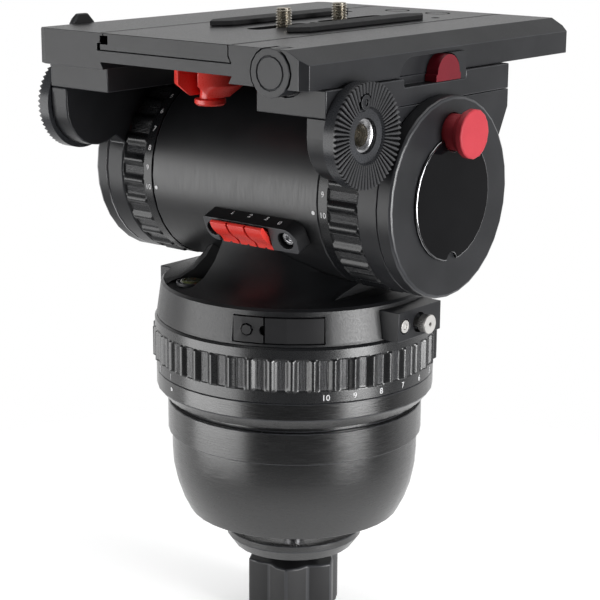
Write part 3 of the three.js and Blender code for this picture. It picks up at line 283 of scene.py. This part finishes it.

# Ridged rings with fine lines in their valley floors, and toothed rosettes; the light lines and tooth
# crests are painted highlight, the grooves and valleys between them painted shade
RING_LEVEL = lined("black_ring_level", lines=616, radii=(80, 83.7), reach=(59.3, 76.5),
                   light=(0.055, 0.056, 0.06), bump=0.8, specular=0.75)
RING_ACROSS = lined("black_ring_across", lines=392, radii=(50, 55.05), reach=(68.3, 87.4),
                    light=(0.035, 0.036, 0.039), bump=0.8, specular=0.35, centre=(0, TILT_HEIGHT))
# Rosette teeth: a painted highlight along each crest and painted shade in each valley
TOOTHED = lined("black_toothed", lines=60, radii=(15.2, 28.2), reach=(107.9, 110.3),
                light=(0.085, 0.086, 0.09), bump=0.2, specular=0.3, centre=(ROSETTE.y, ROSETTE.z),
                dark=(0.002, 0.002, 0.0025), rest=0.02)

# Reds
RED = coated("red_plastic", dark=(0.70, 0.040, 0.030), light=(0.80, 0.055, 0.042),
             rough=(0.26, 0.36), grain=1400, bump=0.12)
RED_SOFT = coated("red_button", dark=(0.40, 0.027, 0.040), light=(0.47, 0.038, 0.052),
                  rough=(0.5, 0.6), grain=1500, bump=0.5, specular=0.35)
CRIMSON = coated("crimson_key", dark=(0.11, 0.003, 0.009), light=(0.145, 0.004, 0.012),
                 rough=(0.36, 0.46), grain=1500, bump=0.12, specular=0.25)

# Steels, print and fluid
STEEL = coated("turned_steel", dark=(0.44, 0.44, 0.45), light=(0.52, 0.52, 0.54),
               rough=(0.24, 0.30), grain=900, bump=0.04, metallic=1.0)
THREAD_STEEL = coated("thread_steel", dark=(0.34, 0.31, 0.26), light=(0.42, 0.39, 0.33),
                      rough=(0.26, 0.34), grain=900, bump=0.04, metallic=1.0)
DARK_STEEL = coated("dark_steel", dark=(0.16, 0.16, 0.17), light=(0.22, 0.22, 0.23),
                    rough=(0.34, 0.44), grain=900, bump=0.15, metallic=1.0)
SATIN = coated("satin_steel", dark=(0.46, 0.45, 0.44), light=(0.56, 0.55, 0.53),
               rough=(0.42, 0.52), grain=1200, bump=0.1, metallic=0.55)
# Painted highlight for the rims of the name disc and the left end cap
RIM_HIGHLIGHT = coated("rim_highlight", dark=(0.26, 0.26, 0.27), light=(0.34, 0.34, 0.35),
                    rough=(0.16, 0.22), grain=900, bump=0.03, metallic=1.0)
PRINT = coated("white_print", dark=(0.66, 0.66, 0.67), light=(0.74, 0.74, 0.75),
               rough=(0.55, 0.65), grain=1500, bump=0.1, specular=0.3)
VIAL = fluid_material()

# Finish of each material slot, and of the nodes that differ from their slot
FINISHES = {
    "black_metal": ANODISED, "cast_black": CAST, "black_plastic": PLASTIC, "gloss_black": GLOSS,
    "grip_rubber": RUBBER, "red_plastic": RED, "red_rubber": RED_SOFT, "crimson": CRIMSON,
    "bright_steel": STEEL, "dark_steel": DARK_STEEL, "vial": VIAL,
}
LOOKS = {
    "pan_base": TURNED_Z, "half_ball": TURNED_Z, "bowl_washer": TURNED_Z, "tilt_barrel": TURNED_X,
    "brake_screw": SATIN, "rosette_right": TOOTHED, "rosette_left": TOOTHED,
}

# Nodes with a shape of their own below, and nodes that no side shows
REMADE = {
    "pan_lock_pin", "bar_insert_right", "bar_insert_left", "camera_screw_rear", "camera_screw_front",
    "pan_drag_ring", "tilt_ring_right", "tilt_ring_left",
}
HIDDEN = {
    "pan_drag_discs", "pan_bearing", "pan_spindle", "spring_pack", "tilt_drag_pack_right",
    "tilt_drag_pack_left", "tilt_bearing_right", "tilt_bearing_left", "tilt_axle", "selector_pin",
}

# Painted highlight along the rounded edges of black metal, cast and plastic parts
EDGE_HIGHLIGHT_SLOTS = {"black_metal", "cast_black", "black_plastic"}
# Painted edges per node: a painted highlight on the rims of the name disc and the left end cap, and painted
# shade in the gaps round the light panel, battery cover, light button and sliding plate
PAINTED_EDGES = {
    "name_disc": RIM_HIGHLIGHT, "end_cap_left": RIM_HIGHLIGHT, "light_panel": PAINTED_SHADE, "battery_cover": PAINTED_SHADE,
    "light_button": PAINTED_SHADE, "sliding_plate": PAINTED_SHADE,
}

# Width of the rounded edges, and the angle in degrees from which an edge counts as one
PLAIN_WIDTH = 0.3
WIDTHS = {
    "platform_frame": 0.7, "side_block_right": 0.6, "side_block_left": 0.6, "side_arm_right": 0.8,
    "side_arm_left": 0.8, "pan_housing": 0.6, "pan_base": 0.5, "half_ball": 0.6, "bowl_washer": 0.5,
    "end_cap_right": 0.7, "end_cap_left": 0.7, "rosette_right": 0, "rosette_left": 0,
    "tilt_lock_knob": 0.8, "tie_down_knob": 1.2, "plate_knob": 0.7, "lock_hub": 0.5,
    "lock_plunger": 0.4, "release_key": 0.5, "ear_block_right": 0.6, "ear_block_left": 0.6,
    "balance_lever_1": 0.5, "balance_lever_2": 0.5, "balance_lever_3": 0.5,
    "grip_strip_right": 0.5, "grip_strip_left": 0.5, "sliding_plate": 0.35,
}
PLAIN_ANGLE = 32
ANGLES = {
    "rosette_right": 4, "rosette_left": 4, "platform_frame": 18, "side_block_right": 18,
    "side_block_left": 18, "side_arm_right": 20, "side_arm_left": 20, "sliding_plate": 18,
    "release_key": 20, "ear_block_right": 20, "ear_block_left": 20, "lock_hub": 50,
    "lock_plunger": 50, "plate_knob": 24,
}

# Corners closer than this are merged, so that short edges leave room to round the long ones
PLAIN_MERGE = 0.002
MERGED = {"platform_frame": 0.25, "pan_housing": 0.15}

# Notch in the left block for a clamp knob that is only on the right
NOTCH_FLOOR = -98.47
BLOCK_REAR = -100.47


def link(name, mesh, material):
    piece = bpy.data.objects.new(name, mesh)
    bpy.context.scene.collection.objects.link(piece)
    piece.data.materials.clear()
    piece.data.materials.append(material)
    return piece


def smooth(mesh, angle):
    mesh.polygons.foreach_set("use_smooth", [True] * len(mesh.polygons))
    mesh.set_sharp_from_angle(angle=math.radians(angle))


def mesh_from(bm, name):
    mesh = bpy.data.meshes.new(name)
    bm.to_mesh(mesh)
    bm.free()
    return mesh


def stand_in(piece, node):
    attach(piece, BODIES[node])
    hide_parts(node)


# Rounded edges, coloured with a painted edge where one is given
def round_edges(piece, width, angle, painted_edge):
    modifier = piece.modifiers.new("edges", "BEVEL")
    if painted_edge:
        piece.data.materials.append(painted_edge)
        modifier.material = len(piece.data.materials) - 1
    modifier.width = width * MM
    modifier.segments = 2
    modifier.limit_method = "ANGLE"
    modifier.angle_limit = math.radians(angle)
    modifier.harden_normals = True
    modifier.use_clamp_overlap = True
    modifier.miter_outer = "MITER_ARC"


def settle_normals(piece):
    modifier = piece.modifiers.new("normals", "WEIGHTED_NORMAL")
    modifier.mode = "FACE_AREA"
    modifier.keep_sharp = True


def close_notch(bm):
    tolerance = 0.1
    for vertex in bm.verts:
        if abs(vertex.co.y - NOTCH_FLOOR * MM) < tolerance * MM:
            vertex.co.y = BLOCK_REAR * MM


# A node's own solid with its flats merged and its edges rounded
def dress(node, finish):
    width, angle = WIDTHS.get(node, PLAIN_WIDTH), ANGLES.get(node, PLAIN_ANGLE)
    flat = math.radians(0.6)
    bm = bmesh.new()
    bm.from_mesh(nodes[node].data)
    if node == "side_block_left":
        close_notch(bm)
    bmesh.ops.remove_doubles(bm, verts=bm.verts, dist=MERGED.get(node, PLAIN_MERGE) * MM)
    bmesh.ops.dissolve_limit(bm, angle_limit=flat, verts=bm.verts, edges=bm.edges)
    mesh = mesh_from(bm, f"fine_{node}")
    smooth(mesh, angle)
    piece = link(f"fine_{node}", mesh, finish)
    if width:
        # Black metal, cast and plastic edges get a painted highlight, unless the node has its own painted
        # edge
        edge_highlight = EDGE_HIGHLIGHT if SLOTS[node] in EDGE_HIGHLIGHT_SLOTS else None
        round_edges(piece, width, angle, PAINTED_EDGES.get(node, edge_highlight))
    settle_normals(piece)
    stand_in(piece, node)


def dress_nodes():
    for node, source in nodes.items():
        finish = LOOKS.get(node, FINISHES[SLOTS[node]])
        if node in HIDDEN:
            source.data.materials.clear()
            source.data.materials.append(finish)
        elif node not in REMADE:
            dress(node, finish)


# The selector's outward faces take a lighter finish
def paint_selector():
    facing = 0.995
    selector = bpy.data.objects["fine_selector_housing"]
    selector.data.materials.append(FACE)
    for face in selector.data.polygons:
        if face.normal.dot(SELECTOR_OUT) > facing:
            face.material_index = len(selector.data.materials) - 1


# Rings of points for turned and threaded forms
def turns_of(around, first=0.0):
    return [first + math.tau * step / around for step in range(around)]


def ring_of(radii, turns, height):
    return [(radius * math.cos(at), radius * math.sin(at), height) for radius, at in zip(radii, turns)]


def turned_rows(profile, around=48):
    return [ring_of([radius] * around, turns_of(around), height) for radius, height in profile]


# Screw thread: the radius rises and falls with height and angle, and fades at both ends
def thread_rows(length, pitch, crest, root):
    around, rows_per_pitch = 48, 10
    valley_share, flank_share = 0.12, 0.72
    count = int(length / pitch * rows_per_pitch)
    rows = []
    for row in range(count + 1):
        height = length * row / count
        runout = min(1, height / pitch, (length - height) / pitch)
        radii = []
        for step in range(around):
            phase = (height / pitch - step / around) % 1
            flank = min(1, max(0, (1 - abs(2 * phase - 1) - valley_share) / flank_share))
            radii.append(root + (crest - root) * flank * runout)
        rows.append(ring_of(radii, turns_of(around), height))
    return rows


# Faces between rings of points, with the ends open, capped or joined to each other
def skin(bm, rows, place, ends="capped"):
    rings = [[bm.verts.new([value * MM for value in place(*point)]) for point in ring] for ring in rows]
    following = rings[1:] + rings[:1] if ends == "joined" else rings[1:]
    for low, high in zip(rings, following):
        for step in range(len(low)):
            after = (step + 1) % len(low)
            bm.faces.new((low[step], low[after], high[after], high[step]))
    if ends == "capped":
        bm.faces.new(list(reversed(rings[0])))
        bm.faces.new(rings[-1])


def finish_piece(name, bm, material, angle):
    bmesh.ops.recalc_face_normals(bm, faces=bm.faces)
    mesh = mesh_from(bm, name)
    smooth(mesh, angle)
    return link(name, mesh, material)


def camera_screw(node, along):
    length, pitch, crest, root = 16.6, 1.59, 4.72, 3.9
    thread_start = 249.8
    head = ((7.4, 246.9), (8, 247.5), (8, 249.4), (7.4, 250), (4.2, 250))

    def place(x, y, z):
        return x, y + along, z

    def place_thread(x, y, z):
        return x, y + along, z + thread_start

    bm = bmesh.new()
    skin(bm, turned_rows(head), place)
    skin(bm, thread_rows(length, pitch, crest, root), place_thread)
    stand_in(finish_piece(f"fine_{node}", bm, THREAD_STEEL, angle=75), node)


# Thread in the bore of a pan bar insert
def bore_thread(name):
    side, start = SIDES[name], 91.6
    length, pitch, crest, root = 13, 1.5, 5.05, 5.58

    def place(x, y, z):
        return side * (start + z), y + ROSETTE.y, x + ROSETTE.z

    bm = bmesh.new()
    skin(bm, thread_rows(length, pitch, crest, root), place, ends="open")
    piece = finish_piece(f"bore_thread_{name}", bm, THREAD_STEEL, angle=75)
    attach(piece, "platform")


# Steel insert with a dished, rounded mouth, as radius and depth from its end
def bar_insert(name):
    node, side = f"bar_insert_{name}", SIDES[name]
    profile = (
        (5.6, -15), (9.3, -15), (9.3, -0.5), (9.15, -0.15), (8.8, 0), (8.2, -0.06), (7.6, -0.35),
        (7.0, -0.85), (6.4, -1.35), (5.9, -1.75), (5.6, -2.1),
    )

    def place(x, y, z):
        return side * (INSERT_END.x + z), y + ROSETTE.y, x + ROSETTE.z

    bm = bmesh.new()
    skin(bm, turned_rows(profile, around=64), place, ends="joined")
    stand_in(finish_piece(f"fine_{node}", bm, STEEL, angle=60), node)


# Lock pin with a knurled collar, as radius, depth from its tip and height of the knurls
def lock_pin():
    node = "pan_lock_pin"
    root, tip = box_of(node)
    middle = (root + tip) / 2
    around, knurls = 96, 24
    profile = (
        (2.6, root.x - tip.x, 0), (2.6, -6.2, 0), (4.7, -5.7, 0.2), (4.9, -5.4, 0.25), (4.9, -2.1, 0.25),
        (5.3, -1.6, 0), (5.5, -1.4, 0), (5.5, -0.3, 0), (5.2, 0, 0), (1.4, 0, 0), (1.1, -0.4, 0),
        (1.1, -4, 0),
    )

    def place(x, y, z):
        return tip.x + z, middle.y + x, middle.z + y

    turns = turns_of(around)
    rows = []
    for radius, depth, knurl in profile:
        radii = [radius + knurl * math.cos(knurls * at) for at in turns]
        rows.append(ring_of(radii, turns, depth))
    bm = bmesh.new()
    skin(bm, rows, place)
    stand_in(finish_piece(f"fine_{node}", bm, SATIN, angle=35), node)


def eased(value, length):
    share = min(1, max(0, value / length))
    return share * share * (3 - 2 * share)


# Height of a rounded ridge above the valley floor, from 0 to 1, at a step round the ring
def ridge_share(step, steps_per_ridge):
    half_width, fullness = 0.34, 0.85
    share = abs((step / steps_per_ridge + 0.5) % 1 - 0.5) / half_width
    return (0.5 + 0.5 * math.cos(math.pi * share)) ** fullness if share < 1 else 0


# Drag ring with sunk valleys between its ridges, and a profile of heights and radii on both sides
def ridged_ring(node, material, place, before, after, grip, floor, crest, count, first):
    steps_per_ridge = 20
    run_in = (0, 0.25, 0.5, 0.8, 1.2, 2)
    sink_length = 1.2
    low, high = grip
    middle = (low + high) / 2
    heights = [low + step for step in run_in] + [low + (high - low) / 2]
    heights += [high - step for step in reversed(run_in)]
    around = count * steps_per_ridge
    turns = turns_of(around, math.radians(first))
    rows = [ring_of([radius] * around, turns, height) for height, radius in before]
    for height in heights:
        edge = before[-1][1] if height < middle else after[0][1]
        sunk = eased(height - low, sink_length) * eased(high - height, sink_length)
        radii = []
        for step in range(around):
            radius = floor + (crest - floor) * ridge_share(step, steps_per_ridge)
            radii.append(edge + (radius - edge) * sunk)
        rows.append(ring_of(radii, turns, height))
    rows += [ring_of([radius] * around, turns, height) for height, radius in after]
    bm = bmesh.new()
    skin(bm, rows, place, ends="joined")
    stand_in(finish_piece(f"fine_{node}", bm, material, angle=38), node)


def upright(x, y, height):
    return x, y, height


def across_tilt(x, y, height):
    return height, x, y + TILT_HEIGHT


def make_rings():
    ridged_ring(
        "pan_drag_ring", RING_LEVEL, upright,
        before=((51.5, 71.8), (51.5, 83.7), (51.8, 84), (58.08, 84)),
        after=((77.72, 84.8), (82.9, 84.8), (84.1, 83.6), (84.1, 71.8)),
        grip=(58.1, 77.7), floor=83.4, crest=86.15, count=44, first=-174.685)
    ridged_ring(
        "tilt_ring_right", RING_ACROSS, across_tilt,
        before=((61.1, 47.2), (61.1, 55.8), (61.3, 56), (67.28, 56)),
        after=((88.38, 55.9), (88.4, 55.8), (88.4, 47.2)),
        grip=(67.3, 88.35), floor=54.8, crest=56.98, count=28, first=-165.47)
    ridged_ring(
        "tilt_ring_left", RING_ACROSS, across_tilt,
        before=((-88.4, 47.2), (-88.4, 55.8), (-88.38, 55.9)),
        after=((-71.08, 56), (-65.1, 56), (-64.9, 55.8), (-64.9, 47.2)),
        grip=(-88.35, -71.1), floor=54.8, crest=56.98, count=28, first=-174.86)


# Flat forms in millimetres, which laid() brings to their place and to metres
def text_mesh(words, height, weight=0.0):
    curve = bpy.data.curves.new("words", "FONT")
    curve.body = words
    curve.size = height
    curve.align_x = "CENTER"
    curve.align_y = "CENTER"
    curve.resolution_u = 3
    curve.offset = weight
    holder = bpy.data.objects.new("words", curve)
    bpy.context.scene.collection.objects.link(holder)
    bpy.context.view_layer.update()
    graph = bpy.context.evaluated_depsgraph_get()
    mesh = bpy.data.meshes.new_from_object(holder.evaluated_get(graph))
    bpy.data.objects.remove(holder)
    return mesh


def dot_mesh():
    radius = 1.15
    bm = bmesh.new()
    bmesh.ops.create_circle(bm, cap_ends=True, segments=20, radius=radius)
    return mesh_from(bm, "dot")


def ring_mesh(radius, width):
    bm = bmesh.new()
    rows = turned_rows(((radius, 0), (radius - width, 0)))
    skin(bm, rows, lambda x, y, z: (x / MM, y / MM, z), ends="open")
    return mesh_from(bm, "ring")


def strip_mesh(width, length):
    bm = bmesh.new()
    bmesh.ops.create_grid(bm, x_segments=1, y_segments=24, size=0.5)
    for vertex in bm.verts:
        vertex.co.x *= width
        vertex.co.y *= length
    return mesh_from(bm, "strip")


# Places for a flat form on the pan ring, a tilt ring, the selector's hood and the plate
def on_pan(radius, turn, height):
    def place(x, y):
        at = math.radians(turn) + x / radius
        return radius * math.sin(at), -radius * math.cos(at), height + y
    return place


def on_tilt(radius, turn, across):
    def place(x, y):
        at = math.radians(turn) + y / radius
        return across + x, -radius * math.cos(at), TILT_HEIGHT + radius * math.sin(at)
    return place


def on_hood(across, out):
    hood_height = 8.24

    def place(x, y):
        point = SELECTOR_PLACE + SELECTOR_UP * hood_height + SELECTOR_OUT * (out - y)
        return across + x, point.y, point.z
    return place


def on_plate(across, along):
    lift = 0.02

    def place(x, y):
        return across + x, along + y, PLATE_TOP + lift
    return place


# A flat form as a thin film in its place, riding on a body
def laid(name, mesh, place, body, finish=PRINT):
    film = 0.05
    for vertex in mesh.vertices:
        vertex.co = Vector(place(vertex.co.x, vertex.co.y)) * MM
    piece = link(name, mesh, finish)
    modifier = piece.modifiers.new("film", "SOLIDIFY")
    modifier.thickness = film * MM
    modifier.offset = 0
    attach(piece, body)


# Printed scales run down from 10 to 1, a step apart in degrees
def print_pan_scales():
    radius, step_turn, text_height = 84.08, 12, 5.0
    number_height, dot_height = 54.6, 47.2
    dot_turn = -71.3
    for scale, start in enumerate((51.3, 231.3)):
        for step in range(10):
            place = on_pan(radius, start + step_turn * step, number_height)
            words = text_mesh(str(10 - step), text_height)
            laid(f"pan_number_{scale}_{step}", words, place, "pan_ring")
        laid(f"pan_dot_{scale}", dot_mesh(), on_pan(radius, start + dot_turn, dot_height), "base")


def print_tilt_scales():
    radius, start, step_turn, text_height = 56.08, -8, 12, 4.6
    dot_radius = 56.06
    dots = (("right", -7.2, 57.6), ("left", -7.6, -61.5))
    for side, across, body in (("right", 64.3, "tilt_ring_r"), ("left", -68.0, "tilt_ring_l")):
        for step in range(10):
            place = on_tilt(radius, start + step_turn * step, across)
            words = text_mesh(str(10 - step), text_height)
            laid(f"tilt_number_{side}_{step}", words, place, body)
    for side, turn, across in dots:
        laid(f"tilt_dot_{side}", dot_mesh(), on_tilt(dot_radius, turn, across), "pan")


# Each mark on the hood by index, number, weight of its strokes, and place across and outward
def print_hood_marks():
    text_height = 4.6
    marks = (
        (0, "1", 0.16, 0.2, 2.4),
        (1, "2", 0.16, 13.4, 2.4),
        (2, "3", 0.16, 25.9, 2.4),
        (4, "0", 0.12, 36.6, 4.4),
    )
    for index, number, weight, across, out in marks:
        laid(f"selector_mark_{index}", text_mesh(number, text_height, weight), on_hood(across, out), "pan")


# Narrow strips of painted shade where the sliding plate meets its rails
def draw_seams():
    width, length, middle = 0.8, 254, 15.5
    for side, across in (("right", 47.8), ("left", -48.4)):
        laid(f"plate_seam_{side}", strip_mesh(width, length), on_plate(across, middle), "platform", PAINTED_SHADE)


# Two round milled marks at the front of the sliding plate, drawn as rings of painted shade
def mill_marks():
    radius, width, along = 8, 1.3, 121
    for side, across in (("right", 15.3), ("left", -15.9)):
        laid(f"milled_ring_{side}", ring_mesh(radius, width), on_plate(across, along), "camera_slide", PAINTED_SHADE)


# Infill between the release key's arch and the front end of its pocket
def close_pocket():
    inner, outer = 96.8, 101.1
    shoulder, front = 20.4, 25.95
    bottom, top = 231, 246.2
    arch_along, arch_height, arch_radius = 8.33, 235.2, 11.3
    arch_start, arch_step, arch_count = 78, 6, 13
    outline = [(shoulder, bottom), (front, bottom), (front, top)]
    for step in range(arch_count):
        turn = math.radians(arch_start - arch_step * step)
        along, rise = arch_radius * math.cos(turn), arch_radius * math.sin(turn)
        outline.append((arch_along + along, arch_height + rise))
    bm = bmesh.new()
    skin(bm, [[(across, y, z) for y, z in outline] for across in (inner, outer)], upright)
    piece = finish_piece("key_infill", bm, ANODISED, angle=30)
    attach(piece, "platform")


# What the camera sees straight or through glass, which is white, apart from what lights the object
def shown_rays(tree):
    path = tree.nodes.new("ShaderNodeLightPath")
    seen = math_node(tree, "MAXIMUM", path.outputs["Is Camera Ray"], path.outputs["Is Transmission Ray"])
    return path.outputs["Is Glossy Ray"], seen


# Floor that keeps the object's shadow and ends softly in the white background
def build_stage():
    drop, half_size = 0.002, 0.8
    glow_strength = 0.6
    solid_to, clear_from = 0.14, 0.42
    bm = bmesh.new()
    bmesh.ops.create_grid(bm, x_segments=2, y_segments=2, size=half_size)
    mesh = mesh_from(bm, "floor")
    material, tree, shader = new_material("pale_floor")
    shader.inputs["Base Color"].default_value = (0.9, 0.9, 0.9, 1)
    shader.inputs["Roughness"].default_value = 0.9
    shader.inputs["Specular IOR Level"].default_value = 0.1
    glossy, seen = shown_rays(tree)
    bright = math_node(tree, "MAXIMUM", seen, glossy)
    glow = tree.nodes.new("ShaderNodeEmission")
    tree.links.new(ramp(tree, bright, 0, glow_strength, 0, 1), glow.inputs["Strength"])
    add = tree.nodes.new("ShaderNodeAddShader")
    tree.links.new(shader.outputs[0], add.inputs[0])
    tree.links.new(glow.outputs[0], add.inputs[1])
    place = tree.nodes.new("ShaderNodeTexCoord")
    reach = tree.nodes.new("ShaderNodeVectorMath")
    reach.operation = "LENGTH"
    tree.links.new(place.outputs["Object"], reach.inputs[0])
    clear = tree.nodes.new("ShaderNodeBsdfTransparent")
    mix = tree.nodes.new("ShaderNodeMixShader")
    tree.links.new(ramp(tree, reach.outputs["Value"], 0, 1, solid_to, clear_from), mix.inputs[0])
    tree.links.new(add.outputs[0], mix.inputs[1])
    tree.links.new(clear.outputs[0], mix.inputs[2])
    output = next(node for node in tree.nodes if node.type == "OUTPUT_MATERIAL")
    tree.links.new(mix.outputs[0], output.inputs["Surface"])
    floor = link("floor", mesh, material)
    floor.location.z = cad_box[0][2] - drop


def backdrop(tree, strength):
    node = tree.nodes.new("ShaderNodeBackground")
    node.inputs["Color"].default_value = (1, 1, 1, 1)
    node.inputs["Strength"].default_value = strength
    return node.outputs[0]


# White behind the object, dimmer towards the operator so that black metal keeps its depth
def build_world():
    away = (-0.632, 0.775, 0)
    side_from, side_to = -0.1, 0.5
    rise_from, rise_to, rise_dimmed = 0.32, 0.55, 0.1
    lit_strength = 0.10
    world = bpy.data.worlds.new("world")
    bpy.context.scene.world = world
    world.use_nodes = True
    tree = world.node_tree
    tree.nodes.clear()
    output = tree.nodes.new("ShaderNodeOutputWorld")
    glossy, seen = shown_rays(tree)
    place = tree.nodes.new("ShaderNodeTexCoord")
    towards = tree.nodes.new("ShaderNodeVectorMath")
    towards.operation = "DOT_PRODUCT"
    towards.inputs[1].default_value = away
    tree.links.new(place.outputs["Generated"], towards.inputs[0])
    split = tree.nodes.new("ShaderNodeSeparateXYZ")
    tree.links.new(place.outputs["Generated"], split.inputs["Vector"])
    side = ramp(tree, towards.outputs["Value"], 0, 1, side_from, side_to)
    rise = ramp(tree, split.outputs["Z"], 1, rise_dimmed, rise_from, rise_to)
    behind = math_node(tree, "MULTIPLY", side, rise)
    mirrored = math_node(tree, "MULTIPLY", glossy, behind)
    mix = tree.nodes.new("ShaderNodeMixShader")
    tree.links.new(math_node(tree, "MAXIMUM", seen, mirrored), mix.inputs[0])
    tree.links.new(backdrop(tree, lit_strength), mix.inputs[1])
    tree.links.new(backdrop(tree, 1), mix.inputs[2])
    tree.links.new(mix.outputs[0], output.inputs["Surface"])


# Lamps, in metres and watts, that face the middle of the head
def area(name, place, size, power):
    middle = Vector((0, 0, 0.14))
    data = bpy.data.lights.new(name, "AREA")
    data.shape = "RECTANGLE"
    data.size, data.size_y = size
    data.energy = power
    lamp = bpy.data.objects.new(name, data)
    bpy.context.scene.collection.objects.link(lamp)
    lamp.location = place
    lamp.rotation_euler = (middle - Vector(place)).to_track_quat("-Z", "Y").to_euler()


def place_lamps():
    area("left_light", place=(-0.67, -1.11, -0.02), size=(1.3, 0.8), power=16)
    area("right_light", place=(1.3, 0.02, 0.15), size=(0.6, 0.9), power=25)
    area("top_light", place=(-0.2, 0.3, 1.5), size=(1.5, 1.5), power=10)


dress_nodes()
paint_selector()
camera_screw("camera_screw_rear", -12)
camera_screw("camera_screw_front", 40)
for name in SIDES:
    bore_thread(name)
for name in SIDES:
    bar_insert(name)
lock_pin()
make_rings()
draw_seams()
mill_marks()
close_pocket()
print_pan_scales()
print_tilt_scales()
print_hood_marks()
place_camera()
build_stage()
build_world()
place_lamps()
bpy.context.scene.view_settings.view_transform = "Standard"
